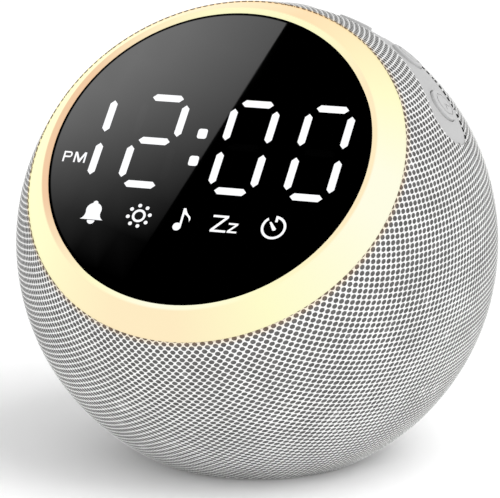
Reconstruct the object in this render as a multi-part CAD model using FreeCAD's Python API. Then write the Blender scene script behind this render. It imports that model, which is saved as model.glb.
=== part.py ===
import FreeCAD
import Part
import math
import os

# A ball-shaped alarm clock: a cloth-covered sphere, cut flat underneath, with a
# tilted round LED display in a glowing ring, a row of keys over the top behind
# the ring, a small loudspeaker at the back and a USB-C power socket.
#
# Three frames are used:
#   ball frame: origin at the ball's centre, +Z up, the display looks towards -Y
#   face frame: origin at the ball's centre, +Z out of the display, +Y up the face
#   key frame:  origin at the ball's centre, +Z out through the middle of one key
# Everything is moved to the row frame (origin on the table, under the middle)
# as it is written.

# ---------------------------------------------------------------- driving sizes
# Lengths in millimetres, angles in degrees.

BALL_RADIUS = 53.0
BASE_RIM_RADIUS = 24.9
FOOT_PROUD = 0.35
FACE_ELEVATION = 40.8

CLOTH_THICKNESS = 0.85
CLOTH_TO_SHELL = 0.15
SHELL_WALL = 2.0
CLEARANCE = 0.1
SLIP = 0.05

# display
RING_POLAR = 51.45
RING_WIDTH = 5.95
LENS_THICKNESS = 2.0
LENS_GAP = 0.25
LENS_BEVEL = 0.15
RING_WALL = 2.2
RING_LAND = 1.1
RING_LAND_RISE = 0.15
RING_SKIRT_WALL = 1.55
RING_SHELF = 2.1
RING_SHELF_THICKNESS = 1.4
GASKET_THICKNESS = 0.5
SEAT_THICKNESS = 1.8
SEAT_LEDGE = 2.7
BLOCK_HEIGHT = 5.9
CARRIER_THICKNESS = 1.1
CARRIER_WALL = 0.7
RING_BOARD_THICKNESS = 1.0
RING_LED_COUNT = 24
RING_LED_SIZE = (3.5, 2.8, 0.8)
RING_SCREW_COUNT = 4
RING_BOSS_RADIUS = 1.8
BOARD_THICKNESS = 1.6
BLOCK_CAVITY = 1.0
BLOCK_SKIRT = 1.7
SEGMENT_LED_SIZE = (1.6, 0.8, 0.7)
DISPLAY_SCREW_ANGLES = (53.75, 126.25, 233.75, 306.25)
DISPLAY_SCREW_MARGIN = 0.8

# digits, in the face frame, as drawn for a lens of this radius
DRAWN_LENS_RADIUS = 35.25
DIGIT_X = (-29.30, -12.72, 7.68, 24.39)
DIGIT_Y = 2.31
DIGIT_LEAN = 0.0383
DIGIT_HALF_HEIGHT = 10.60
BAR_WIDTH = 1.66
FLAT_BAR_HALF_LENGTH = 3.57
UPRIGHT_BAR_X = 4.69
UPRIGHT_BAR_LENGTH = 7.79
UPRIGHT_BAR_MIDDLE = 5.29
COLON_X = -2.50
COLON_DROP = 0.71
COLON_HALF_PITCH = 3.31
COLON_SIZE = (2.15, 2.4)
COLON_CORNER = 0.55

# small signs under the digits, drawn for the same lens
SIGN_STROKE = 0.52
BELL_AT = (-21.65, -15.75)
SUN_AT = (-11.25, -15.69)
SUN_RING = (0.98, 1.52)
SUN_RAY_CIRCLE = 2.42
SUN_RAY_COUNT = 8
SUN_RAY_TURN = 8.0
SUN_RAY_RADIUS = 0.43
NOTE_AT = (-2.25, -17.43)
BIG_Z_AT = (6.90, -15.95)
SMALL_Z_AT = (10.0, -16.72)
TIMER_AT = (18.77, -15.79)
PM_AT = (-29.5, -2.95)
PM_HEIGHT = 2.55

# key strip
STRIP_POLAR = 69.0
STRIP_WIDTH = 12.5
STRIP_DROP = 0.27
STRIP_THICKNESS = 0.68
STRIP_LEDGE = 0.8
STRIP_BODY_DEPTH = 1.98
STRIP_BEYOND_LAST_KEY = 3.8
STRIP_END_STEP = 0.03
KEY_PITCH = 15.9
FIRST_KEY_OFFSET = 17.4
KEY_RADIUS = 3.85
KEY_GAP = 0.25
KEY_FLANGE = 0.65
KEY_FLANGE_THICKNESS = 0.6
KEY_CROWN = 0.38
KEY_DOME_RADIUS = 40.0
KEY_EDGE = 0.2
KEY_TRAVEL = 0.6
KEY_STEM_RADIUS = 1.3
KEY_STEM_LENGTH = 0.75
KEY_SIGN_DEPTH = 0.18
KEY_SIGN_STROKE = 0.36
SNOOZE_HALF_STRAIGHT = 3.6
SWITCH_SIZE = 4.2
SWITCH_BODY = 0.8
SWITCH_BUTTON_RADIUS = 1.0
SWITCH_BUTTON_HEIGHT = 0.25
FLEX_THICKNESS = 0.3
FLEX_WIDTH = 6.8
BRACKET_THICKNESS = 1.5
BRACKET_INSIDE = 10.8
BRACKET_WALL = 1.2
BRACKET_WALL_HEIGHT = 3.2
BRACKET_SCREW_BEYOND = 9.2
BRACKET_END_BEYOND = 11.6

# shells
LIP_WALL = 1.2
LIP_HEIGHT = 1.8
LIP_ROOT = 3.0
SHELL_SCREW_COUNT = 4
SHELL_BOSS_RADIUS = 2.7
WEB = 2.0
SHELL_BOSS_FRONT = 8.0
SHELL_BOSS_REAR = 9.0

# base
BASE_THICKNESS = 2.5
FOOT_WIDTH = 4.0
FOOT_THICKNESS = 1.2
BASE_EDGE = 0.7
POCKET_GAP = 1.0
BASE_SCREW_COUNT = 4
BASE_BOSS_RADIUS = 2.5
BASE_BOSS_HEIGHT = 5.6
BASE_SCREW_GRIP = 4.6
BASE_HEAD_POCKET = 1.3

# loudspeaker, in its own frame: +Z out of the back of the clock
SPEAKER_LIFT = 8.0
SPEAKER_SINK = 1.0
SPEAKER_OPEN_RADIUS = 14.2
SPEAKER_RIM = 1.8
SPEAKER_FRAME_THICKNESS = 1.2
SPEAKER_REAR_RADIUS = 9.4
SPEAKER_BASKET_DEPTH = 9.0
SPEAKER_BASKET_WALL = 1.0
SPEAKER_WINDOWS = 4
SPEAKER_WINDOW_SIZE = (8.0, 3.6)
PLATE_THICKNESS = 2.0
PLATE_RADIUS = 9.0
POLE_RADIUS = 3.9
MAGNET_RADIUS = 9.2
MAGNET_THICKNESS = 4.0
MAGNET_BORE_GAP = 0.8
YOKE_THICKNESS = 2.0
COIL_GAP = 0.3
COIL_WALL = 0.15
COIL_WINDING = 0.3
COIL_BELOW_PLATE = 1.2
COIL_WINDING_LENGTH = 2.6
CONE_DEPTH = 3.6
CONE_THICKNESS = 0.35
CONE_RIM = 0.7
CAP_RADIUS = 5.0
CAP_HEIGHT = 1.4
ROLL_WIDTH = 2.4
ROLL_HEIGHT = 1.1
ROLL_THICKNESS = 0.35
SPIDER_THICKNESS = 0.3
SPIDER_DROP = 6.2
SPIDER_LEDGE = 1.2
COLLAR_WALL = 2.0
SPEAKER_EAR_OFFSET = 1.4
SPEAKER_EAR_RADIUS = 2.6
SPEAKER_SCREW_COUNT = 4
GRILLE_HOLE_RADIUS = 1.0
GRILLE_PITCH = 3.2
GRILLE_MARGIN = 1.6

# power socket at the back
PORT_LATITUDE = -19.0
PORT_SIZE = (14.0, 7.6)
PORT_CORNER = 2.0
PORT_FLANGE = 2.0
PORT_DEPTH = 4.2
PORT_FLANGE_THICKNESS = 1.2
PORT_EDGE = 0.4
SOCKET_SIZE = (8.94, 3.26)
SOCKET_LENGTH = 7.35
SOCKET_WALL = 0.3
TONGUE_SIZE = (6.7, 0.7, 5.6)
PORT_BOARD_SIZE = (15.0, 1.2, 13.0)

# main board, above the base
MAIN_BOARD_GAP = 5.6
MAIN_BOARD_HEIGHT = 6.4
BOARD_SCREW_GRIP = 4.0
POST_PLACES = ((15.0, 11.5), (-15.0, 11.5), (15.0, -11.5), (-15.0, -11.5))
POST_RADIUS = 2.3
CELL_RADIUS = 10.0
CELL_THICKNESS = 3.2
CELL_AT = (-4.0, 2.0)
HOLDER_WALL = 1.2
HOLDER_FLOOR = 0.8
CHIPS = ((9.5, -9.0, 6.0, 6.0, 1.1), (-8.0, -14.5, 5.0, 4.0, 1.2), (13.0, 3.0, 9.0, 6.0, 1.0))
CAPACITORS = ((9.0, 17.0, 2.5, 6.0), (4.0, 16.5, 2.0, 5.5), (20.5, -3.0, 2.5, 6.5))
RIBBON_SOCKET = (0.0, -20.5, 12.0, 4.0, 2.6)
SPEAKER_SOCKET = (-9.0, 20.0, 6.0, 4.5, 3.4)
POWER_SOCKET = (0.0, 22.6, 6.0, 4.0, 3.4)

# wires
LEAD_RADIUS = 0.6
LEAD_PITCH = 1.6
SPEAKER_LEAD_X = -6.0
SPEAKER_LEAD_BEND = 3.0
SPEAKER_LEAD_RISE = 6.0
SPEAKER_LEAD_DROP = 5.0
POWER_LEAD_BEND = 1.5
POWER_LEAD_RISE = 5.0
RIBBON_WIDTH = 9.0
RIBBON_THICKNESS = 0.3
RIBBON_BEND = 2.5
RIBBON_DROP = 7.0
RIBBON_RISE = 8.0
PLUG_SIZE = (11.0, 4.0, 2.0)
PLUG_Y = -19.0

# screws
SCREW_RADIUS = 0.95
SCREW_HOLE = 1.15
PILOT_HOLE = 1.0
HEAD_RADIUS = 1.8
HEAD_HEIGHT = 1.2
CROSS_WIDTH = 0.45
CROSS_DEPTH = 0.7

# ---------------------------------------------------------------- worked-out sizes
CENTRE_Z = math.sqrt(BALL_RADIUS ** 2 - BASE_RIM_RADIUS ** 2) + FOOT_PROUD
CLOTH_INNER = BALL_RADIUS - CLOTH_THICKNESS
SHELL_OUTER = CLOTH_INNER - CLOTH_TO_SHELL
SHELL_INNER = SHELL_OUTER - SHELL_WALL
FAR = 2.0 * BALL_RADIUS

RING_OUTER_RADIUS = BALL_RADIUS * math.sin(math.radians(RING_POLAR))
RING_HOLE_RADIUS = RING_OUTER_RADIUS + CLEARANCE
RING_INNER_RADIUS = RING_OUTER_RADIUS - RING_WIDTH
LENS_RADIUS = RING_INNER_RADIUS - LENS_GAP
RING_TOP_RADIUS = BALL_RADIUS - SLIP
LAND_HEIGHT = math.sqrt(RING_TOP_RADIUS ** 2 - (RING_INNER_RADIUS + RING_LAND) ** 2)
LENS_HEIGHT = LAND_HEIGHT - RING_LAND_RISE
LENS_UNDER = LENS_HEIGHT - LENS_THICKNESS
SEAT_HEIGHT = LENS_UNDER - SLIP - BLOCK_HEIGHT - BOARD_THICKNESS
SHELF_TOP = LENS_UNDER - GASKET_THICKNESS
SHELF_UNDER = SHELF_TOP - RING_SHELF_THICKNESS
SHELF_INNER_RADIUS = RING_INNER_RADIUS - RING_SHELF
DISPLAY_BOARD_RADIUS = SHELF_INNER_RADIUS - 2 * CLEARANCE
SEAT_INNER_RADIUS = DISPLAY_BOARD_RADIUS - SEAT_LEDGE
DISPLAY_SCREW_CIRCLE = SEAT_INNER_RADIUS - DISPLAY_SCREW_MARGIN - HEAD_RADIUS
CARRIER_TOP = SEAT_HEIGHT + CARRIER_THICKNESS
RING_BOARD_TOP = CARRIER_TOP + RING_BOARD_THICKNESS
SKIRT_INNER_RADIUS = RING_OUTER_RADIUS - RING_SKIRT_WALL
RING_SCREW_CIRCLE = SKIRT_INNER_RADIUS - CLEARANCE - RING_BOSS_RADIUS
RING_LED_CIRCLE = (SHELF_INNER_RADIUS + CARRIER_WALL + SKIRT_INNER_RADIUS) / 2.0
BOARD_TOP = SEAT_HEIGHT + BOARD_THICKNESS
PIPE_BOTTOM = BOARD_TOP + BLOCK_CAVITY
DRAWING_SCALE = LENS_RADIUS / DRAWN_LENS_RADIUS
DRAWN_LENGTH = (LENS_HEIGHT - PIPE_BOTTOM) / DRAWING_SCALE

STRIP_TOP = BALL_RADIUS - STRIP_DROP
STRIP_HALF = math.degrees(STRIP_WIDTH / 2.0 / BALL_RADIUS)
STRIP_OPENING_HALF = math.degrees((STRIP_WIDTH / 2.0 - STRIP_LEDGE) / BALL_RADIUS)
STRIP_BODY_HALF = STRIP_OPENING_HALF - math.degrees(CLEARANCE / BALL_RADIUS)
STRIP_CIRCLE = BALL_RADIUS * math.sin(math.radians(STRIP_POLAR))


def along_strip(length):
    """The azimuth, in degrees, of a length measured along the strip's middle line."""
    return math.degrees(length / STRIP_CIRCLE)


KEY_NAMES = (
    "volume_down_key",
    "volume_up_key",
    "sound_key",
    "snooze_key",
    "alarm_key",
    "power_key",
    "timer_key",
)
KEY_OFFSETS = tuple(FIRST_KEY_OFFSET + KEY_PITCH * i for i in range(3))
KEY_PLACES = tuple(-s for s in reversed(KEY_OFFSETS)) + (0.0,) + KEY_OFFSETS
STRIP_END = along_strip(KEY_OFFSETS[-1] + STRIP_BEYOND_LAST_KEY)
FLANGE_TOP = STRIP_TOP - STRIP_BODY_DEPTH - SLIP
FLANGE_UNDER = FLANGE_TOP - KEY_FLANGE_THICKNESS
STEM_END = FLANGE_UNDER - KEY_STEM_LENGTH
SWITCH_TOP = STEM_END - KEY_TRAVEL - SLIP
FLEX_TOP = SWITCH_TOP - SWITCH_BUTTON_HEIGHT - SWITCH_BODY
BRACKET_TOP = FLEX_TOP - FLEX_THICKNESS
BRACKET_UNDER = BRACKET_TOP - BRACKET_THICKNESS

FLOOR_Z = -CENTRE_Z
CLOTH_EDGE_Z = FLOOR_Z + FOOT_PROUD
BASE_TOP_Z = CLOTH_EDGE_Z + BASE_THICKNESS
BASE_BOTTOM_RADIUS = math.sqrt(SHELL_OUTER ** 2 - CLOTH_EDGE_Z ** 2)
BASE_SCREW_CIRCLE = BASE_BOTTOM_RADIUS - BASE_EDGE - CLEARANCE - HEAD_RADIUS
FOOT_OUTER_RADIUS = BASE_SCREW_CIRCLE - HEAD_RADIUS - CLEARANCE - POCKET_GAP
FOOT_INNER_RADIUS = FOOT_OUTER_RADIUS - FOOT_WIDTH
MAIN_BOARD_Z = BASE_TOP_Z + MAIN_BOARD_HEIGHT
MAIN_BOARD_TOP = MAIN_BOARD_Z + BOARD_THICKNESS
MAIN_BOARD_RADIUS = math.sqrt(SHELL_INNER ** 2 - MAIN_BOARD_Z ** 2) - MAIN_BOARD_GAP
SHELL_SCREW_CIRCLE = SHELL_INNER - LIP_WALL - SHELL_BOSS_RADIUS

SPEAKER_FRAME_RADIUS = SPEAKER_OPEN_RADIUS + SPEAKER_RIM
SPEAKER_EAR_CIRCLE = SPEAKER_FRAME_RADIUS + SPEAKER_EAR_OFFSET
EAR_CORNER = (SPEAKER_EAR_CIRCLE + SPEAKER_EAR_RADIUS) / math.sqrt(2)
EAR_LIMIT = math.sqrt(SHELL_INNER ** 2 - EAR_CORNER ** 2 - (SPEAKER_LIFT + EAR_CORNER) ** 2)
SPEAKER_FRONT = EAR_LIMIT - SPEAKER_SINK
BASKET_REAR = SPEAKER_FRONT - SPEAKER_BASKET_DEPTH
PLATE_TOP = BASKET_REAR - SPEAKER_FRAME_THICKNESS
MAGNET_TOP = PLATE_TOP - PLATE_THICKNESS
YOKE_TOP = MAGNET_TOP - MAGNET_THICKNESS
COIL_INNER_RADIUS = POLE_RADIUS + COIL_GAP
COIL_OUTER_RADIUS = COIL_INNER_RADIUS + COIL_WALL
WINDING_RADIUS = COIL_OUTER_RADIUS + COIL_WINDING
GAP_OUTER_RADIUS = WINDING_RADIUS + COIL_GAP
ROLL_SEAT = SPEAKER_FRONT - SPEAKER_FRAME_THICKNESS / 2.0
ROLL_OUTER = SPEAKER_OPEN_RADIUS - SPEAKER_BASKET_WALL
CONE_RADIUS = ROLL_OUTER - ROLL_WIDTH
CONE_HIGH = ROLL_SEAT - CONE_THICKNESS
CONE_LOW = CONE_HIGH - CONE_DEPTH
SPIDER_LOW = SPEAKER_FRONT - SPIDER_DROP
GRILLE_RADIUS = SPEAKER_OPEN_RADIUS - GRILLE_MARGIN

PORT_FACE = BALL_RADIUS - SLIP
PORT_FLANGE_TOP = BALL_RADIUS - PORT_DEPTH
PORT_FLANGE_LOW = PORT_FLANGE_TOP - PORT_FLANGE_THICKNESS
SOCKET_MOUTH = PORT_FACE - CLEARANCE
SOCKET_RADIUS = SOCKET_SIZE[1] / 2.0
PORT_BOARD_TOP = PORT_FLANGE_LOW - CLEARANCE
PORT_BOARD_END = PORT_BOARD_TOP - PORT_BOARD_SIZE[2]
PORT_BOARD_Y = -SOCKET_RADIUS - PORT_BOARD_SIZE[1] / 2.0

V = FreeCAD.Vector
ORIGIN = V(0, 0, 0)
X_AXIS = V(1, 0, 0)
Y_AXIS = V(0, 1, 0)
Z_AXIS = V(0, 0, 1)


# ---------------------------------------------------------------- small tools
def cyl(radius, low, high, x=0.0, y=0.0):
    """An upright cylinder between two heights."""
    return Part.makeCylinder(radius, high - low, V(x, y, low))


def tube(inner, outer, low, high):
    return cyl(outer, low, high).cut(cyl(inner, low - 1.0, high + 1.0))


def block(x, y, low, size_x, size_y, size_z):
    """A box centred on x, y and standing on low."""
    return Part.makeBox(size_x, size_y, size_z, V(x - size_x / 2.0, y - size_y / 2.0, low))


def ball_shell(outer, inner):
    return Part.makeSphere(outer).cut(Part.makeSphere(inner))


def above(height):
    return block(0, 0, height, 2 * FAR, 2 * FAR, FAR)


def below(height):
    return block(0, 0, height - FAR, 2 * FAR, 2 * FAR, FAR)


def fuse_all(shapes):
    whole = shapes[0]
    for shape in shapes[1:]:
        whole = whole.fuse(shape)
    return whole


def prism(points, low, high):
    """An upright prism on a closed outline of (x, y) points."""
    corners = [V(x, y, low) for x, y in points]
    face = Part.Face(Part.makePolygon(corners + corners[:1]))
    return face.extrude(V(0, 0, high - low))


def web(angle, start, low, high):
    """An upright wall that joins a boss to the shell, from a radius outwards."""
    wall = Part.makeBox(BALL_RADIUS - start, WEB, high - low, V(start, -WEB / 2.0, low))
    wall.rotate(ORIGIN, Z_AXIS, angle)
    return wall


def stadium(half_straight, radius, low, high):
    """A round-ended bar along X."""
    a = V(-half_straight, -radius, low)
    b = V(half_straight, -radius, low)
    c = V(half_straight, radius, low)
    d = V(-half_straight, radius, low)
    right = Part.Arc(b, V(half_straight + radius, 0, low), c).toShape()
    left = Part.Arc(d, V(-half_straight - radius, 0, low), a).toShape()
    outline = Part.Wire([Part.makeLine(a, b), right, Part.makeLine(c, d), left])
    return Part.Face(outline).extrude(V(0, 0, high - low))


def rounded_box(size_x, size_y, corner, low, high):
    """An upright box with its four upright edges rounded."""
    box = block(0, 0, low, size_x, size_y, high - low)
    upright = [e for e in box.Edges if abs(e.Vertexes[0].Z - e.Vertexes[1].Z) > SLIP]
    return box.makeFillet(corner, upright)


def revolve(edges):
    """A full turn about Z of a closed outline in the XZ plane."""
    return Part.Face(Part.Wire(edges)).revolve(ORIGIN, Z_AXIS, 360)


def line(a, b):
    return Part.makeLine(V(a[0], 0, a[1]), V(b[0], 0, b[1]))


def turned(points):
    """A full turn about Z of a polygon of (radius, height) points."""
    return revolve([line(a, b) for a, b in zip(points, points[1:] + points[:1])])


def arc_about_centre(radius, start_x, end_x):
    """The arc of a circle about the origin, in the XZ plane, between two radii from the axis."""
    mid_x = (start_x + end_x) / 2.0
    ends = [V(x, 0, math.sqrt(radius ** 2 - x ** 2)) for x in (start_x, mid_x, end_x)]
    return Part.Arc(*ends).toShape()


def on_circle(radius, count, first=0.0):
    """Evenly spaced places on a circle, as (x, y, angle in degrees)."""
    places = []
    for i in range(count):
        angle = first + 360.0 * i / count
        x = radius * math.cos(math.radians(angle))
        y = radius * math.sin(math.radians(angle))
        places.append((x, y, angle))
    return places


def screw(length):
    """A pan-head screw: its head stands on z = 0 and its shank points to -Z."""
    head = cyl(HEAD_RADIUS, 0, HEAD_HEIGHT)
    head = head.makeFillet(HEAD_HEIGHT * 0.4, [e for e in head.Edges if e.BoundBox.ZMin > HEAD_HEIGHT / 2.0])
    cross_low = HEAD_HEIGHT - CROSS_DEPTH
    across = block(0, 0, cross_low, HEAD_RADIUS * 1.2, CROSS_WIDTH, HEAD_HEIGHT)
    along = block(0, 0, cross_low, CROSS_WIDTH, HEAD_RADIUS * 1.2, HEAD_HEIGHT)
    shank = cyl(SCREW_RADIUS, -length, 0)
    return head.fuse(shank).cut(across).cut(along)


def moved(shape, x=0.0, y=0.0, z=0.0):
    copy = shape.copy()
    copy.translate(V(x, y, z))
    return copy


def upside_down(shape):
    copy = shape.copy()
    copy.rotate(ORIGIN, X_AXIS, 180)
    return copy


def rounded_path(points, bend):
    """Straight runs joined by tangent arcs of one radius."""
    edges = []
    start = points[0]
    for before, corner, after in zip(points, points[1:], points[2:]):
        to_before = (before - corner).normalize()
        to_after = (after - corner).normalize()
        half = to_before.getAngle(to_after) / 2.0
        reach = bend / math.tan(half)
        first = corner + to_before * reach
        last = corner + to_after * reach
        middle_way = (to_before + to_after).normalize()
        middle = corner + middle_way * (bend / math.sin(half) - bend)
        edges.append(Part.makeLine(start, first))
        edges.append(Part.Arc(first, middle, last).toShape())
        start = last
    edges.append(Part.makeLine(start, points[-1]))
    return Part.Wire(edges)


def swept(path, outline):
    return path.makePipeShell([outline], True, False)


def lead(points, bend):
    """A round wire along a path."""
    path = rounded_path(points, bend)
    circle = Part.makeCircle(LEAD_RADIUS, points[0], points[1] - points[0])
    return swept(path, Part.Wire([circle]))


def face_to_ball(shape):
    copy = shape.copy()
    copy.rotate(ORIGIN, X_AXIS, 90.0 - FACE_ELEVATION)
    return copy


def face_point(x, y, z):
    """A point of the face frame, in the ball frame."""
    turn = FreeCAD.Rotation(X_AXIS, 90.0 - FACE_ELEVATION)
    return turn.multVec(V(x, y, z))


def key_to_face(shape, azimuth, polar=STRIP_POLAR):
    copy = shape.copy()
    copy.rotate(ORIGIN, X_AXIS, -polar)
    copy.rotate(ORIGIN, Z_AXIS, -azimuth)
    return copy


def back_to_ball(shape, latitude=0.0, lift=0.0):
    """From a frame whose +Z points out of the back, +Y up, to the ball frame."""
    copy = shape.copy()
    copy.rotate(ORIGIN, X_AXIS, -90.0)
    copy.rotate(ORIGIN, Y_AXIS, 180.0)
    copy.rotate(ORIGIN, X_AXIS, latitude)
    copy.translate(V(0, 0, lift))
    return copy


def write(node, shapes):
    """Write one node's solids, moved to the row frame."""
    solids = []
    for shape in shapes:
        placed = shape.copy()
        placed.translate(V(0, 0, CENTRE_Z))
        solids.extend(placed.Solids)
    Part.makeCompound(solids).exportStep("parts/" + node + ".step")
    print(node, len(solids), "solids", round(sum(s.Volume for s in solids), 2), "mm3")
    for solid in solids:
        if not solid.isValid():
            print("  not valid:", node)


# ---------------------------------------------------------------- key strip
def strip_tool(half_width):
    """A wedge of the strip's outline, far deeper than any shell it cuts."""
    low = SHELL_INNER - 5.0
    high = BALL_RADIUS + 5.0
    near = math.radians(STRIP_POLAR - half_width)
    back = math.radians(STRIP_POLAR + half_width)
    corners = [(low, near), (high, near), (high, back), (low, back)]
    points = [V(0, r * math.sin(p), r * math.cos(p)) for r, p in corners]
    side = Part.Face(Part.makePolygon(points + points[:1]))
    side.rotate(ORIGIN, Z_AXIS, STRIP_END)
    band = side.revolve(ORIGIN, V(0, 0, -1), 2 * STRIP_END)
    end_radius = BALL_RADIUS * math.sin(math.radians(half_width)) - STRIP_END_STEP
    ends = [key_to_face(cyl(end_radius, low, high), azimuth) for azimuth in (-STRIP_END, STRIP_END)]
    return band.fuse(ends[0]).fuse(ends[1])


def key_outline(radius, low, high, is_bar):
    if is_bar:
        return stadium(SNOOZE_HALF_STRAIGHT, radius, low, high)
    return cyl(radius, low, high)


def key_signs():
    """The sunk sign on each key, as prisms far taller than the key."""
    low = SHELL_INNER
    high = BALL_RADIUS + 5.0
    w = KEY_SIGN_STROKE
    tall = high - low
    minus = block(0, 0, low, 3.4, w, tall)
    plus = minus.fuse(block(0, 0, low, w, 3.4, tall))
    note_head = cyl(0.85, low, high, -0.6, -1.3)
    note_stem = block(0.1, 0.2, low, w, 3.2, tall)
    note_flag = prism([(0.0, 1.8), (0.3, 1.8), (1.5, 0.6), (1.3, 0.3)], low, high)
    bell = prism([(-1.9, -1.3), (-1.3, -0.6), (-1.1, 0.7), (-0.5, 1.5), (0.5, 1.5),
                  (1.1, 0.7), (1.3, -0.6), (1.9, -1.3)], low, high)
    clapper = cyl(0.4, low, high, 0, -1.8)
    ring = tube(2.45, 2.45 + w, low, high)
    gap = block(0, 2.6, low, 1.7, 2.0, tall)
    power = ring.cut(gap).fuse(block(0, 1.6, low, w, 2.4, tall))
    hands = block(0, 0.75, low, w, 1.7, tall).fuse(block(0.65, 0, low, 1.6, w, tall))
    return {
        "volume_down_key": minus,
        "volume_up_key": plus,
        "sound_key": fuse_all([note_head, note_stem, note_flag]),
        "snooze_key": None,
        "alarm_key": bell.fuse(clapper),
        "power_key": power,
        "timer_key": ring.fuse(hands),
    }


def make_key(is_bar, sign):
    crown_top = BALL_RADIUS + KEY_CROWN
    if is_bar:
        dome = Part.makeSphere(crown_top)
        sign_floor = None
    else:
        dome = Part.makeSphere(KEY_DOME_RADIUS, V(0, 0, crown_top - KEY_DOME_RADIUS))
        sign_floor = Part.makeSphere(KEY_DOME_RADIUS - KEY_SIGN_DEPTH, V(0, 0, crown_top - KEY_DOME_RADIUS))
    cap = key_outline(KEY_RADIUS, FLANGE_UNDER, crown_top + 1.0, is_bar)
    cap = cap.common(dome)
    rim = [e for e in cap.Edges if e.BoundBox.ZMin > BALL_RADIUS - STRIP_DROP]
    cap = cap.makeFillet(KEY_EDGE, rim)
    flange = key_outline(KEY_RADIUS + KEY_FLANGE, STEM_END, crown_top, is_bar)
    flange = flange.common(ball_shell(FLANGE_TOP, FLANGE_UNDER))
    stem = cyl(KEY_STEM_RADIUS, STEM_END, FLANGE_UNDER + SLIP)
    key = cap.fuse(flange).fuse(stem)
    if sign is not None:
        key = key.cut(sign.cut(sign_floor))
    return key


def band_on_strip(middle, thickness, from_across, to_across, end):
    """A conical band under the strip; middle is its distance from the ball's centre."""
    polar = math.radians(STRIP_POLAR)
    out = V(0, math.sin(polar), math.cos(polar))
    across = V(0, math.cos(polar), -math.sin(polar))
    low = middle
    high = middle + thickness
    points = [
        out * low + across * from_across,
        out * high + across * from_across,
        out * high + across * to_across,
        out * low + across * to_across,
    ]
    side = Part.Face(Part.makePolygon(points + points[:1]))
    side.rotate(ORIGIN, Z_AXIS, end)
    return side.revolve(ORIGIN, V(0, 0, -1), 2 * end)


def make_strip_group():
    outer = strip_tool(STRIP_HALF)
    body = strip_tool(STRIP_BODY_HALF)
    top = ball_shell(STRIP_TOP, STRIP_TOP - STRIP_THICKNESS).common(outer)
    under = ball_shell(STRIP_TOP - STRIP_THICKNESS / 2.0, STRIP_TOP - STRIP_BODY_DEPTH).common(body)
    plate = top.fuse(under)
    signs = key_signs()
    switches = []
    for name, place in zip(KEY_NAMES, KEY_PLACES):
        is_bar = name == "snooze_key"
        azimuth = along_strip(place)
        hole = key_outline(KEY_RADIUS + KEY_GAP, SHELL_INNER - 2.0, BALL_RADIUS + 2.0, is_bar)
        plate = plate.cut(key_to_face(hole, azimuth))
        key = key_to_face(make_key(is_bar, signs[name]), azimuth)
        write(name, [face_to_ball(key)])
        switch = block(0, 0, FLEX_TOP, SWITCH_SIZE, SWITCH_SIZE, SWITCH_BODY)
        switch = switch.fuse(cyl(SWITCH_BUTTON_RADIUS, FLEX_TOP + SWITCH_BODY, SWITCH_TOP))
        switches.append(face_to_ball(key_to_face(switch, azimuth)))
    write("button_plate", [face_to_ball(plate)])
    write("tact_switches", switches)

    flex_end = along_strip(KEY_OFFSETS[-1] + SWITCH_SIZE)
    flex = band_on_strip(BRACKET_TOP, FLEX_THICKNESS, -FLEX_WIDTH / 2.0, FLEX_WIDTH / 2.0, flex_end)
    write("key_flex_board", [face_to_ball(flex)])

    bracket_end = along_strip(KEY_OFFSETS[-1] + BRACKET_END_BEYOND)
    wall_end = along_strip(KEY_OFFSETS[-1] + SWITCH_SIZE + BRACKET_WALL)
    half = BRACKET_INSIDE / 2.0
    edge = half + BRACKET_WALL
    bracket = band_on_strip(BRACKET_UNDER, BRACKET_THICKNESS, -edge, edge, bracket_end)
    for start in (-edge, half):
        wall = band_on_strip(BRACKET_UNDER, BRACKET_WALL_HEIGHT, start, start + BRACKET_WALL, wall_end)
        bracket = bracket.fuse(wall)
    screws = []
    for azimuth in bracket_screw_azimuths():
        hole = key_to_face(cyl(SCREW_HOLE, BRACKET_UNDER - 1.0, BRACKET_TOP + 1.0), azimuth)
        bracket = bracket.cut(hole)
        fastener = moved(upside_down(screw(BRACKET_THICKNESS + 1.8)), z=BRACKET_UNDER - SLIP)
        screws.append(face_to_ball(key_to_face(fastener, azimuth)))
    write("key_bracket", [face_to_ball(bracket)])
    write("bracket_screws", screws)


def bracket_screw_azimuths():
    beyond = along_strip(KEY_OFFSETS[-1] + BRACKET_SCREW_BEYOND)
    return (-beyond, beyond)


# ---------------------------------------------------------------- display
def bar(length, width):
    """The outline of one segment along X: a bar with pointed ends."""
    half = length / 2.0
    side = width / 2.0
    upper = [(-half, 0), (-half + side, side), (half - side, side)]
    return upper + [(-x, -y) for x, y in upper]


def lean(points):
    return [(x + DIGIT_LEAN * y, y) for x, y in points]


def digit_bars(x):
    """The seven segment outlines of one digit, by their usual letters."""
    flat = bar(2 * FLAT_BAR_HALF_LENGTH, BAR_WIDTH)
    upright = [(-q, p) for p, q in bar(UPRIGHT_BAR_LENGTH, BAR_WIDTH)]
    places = {
        "a": (flat, 0.0, DIGIT_HALF_HEIGHT),
        "b": (upright, UPRIGHT_BAR_X, UPRIGHT_BAR_MIDDLE),
        "c": (upright, UPRIGHT_BAR_X, -UPRIGHT_BAR_MIDDLE),
        "d": (flat, 0.0, -DIGIT_HALF_HEIGHT),
        "e": (upright, -UPRIGHT_BAR_X, -UPRIGHT_BAR_MIDDLE),
        "f": (upright, -UPRIGHT_BAR_X, UPRIGHT_BAR_MIDDLE),
        "g": (flat, 0.0, 0.0),
    }
    outlines = {}
    for letter, (shape, dx, dy) in places.items():
        leant = lean([(p + dx, q + dy) for p, q in shape])
        outlines[letter] = [(p + x, q + DIGIT_Y) for p, q in leant]
    return outlines


# The clock shows 12:00. The first digit is only ever a one, so it has two segments.
DIGIT_HAS = ("bc", "abcdefg", "abcdefg", "abcdefg")
DIGIT_LIT = ("bc", "abdeg", "abcdef", "abcdef")


def pipe(points):
    """A light pipe as drawn: it stands on z = 0."""
    return prism(points, 0.0, DRAWN_LENGTH)


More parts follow.
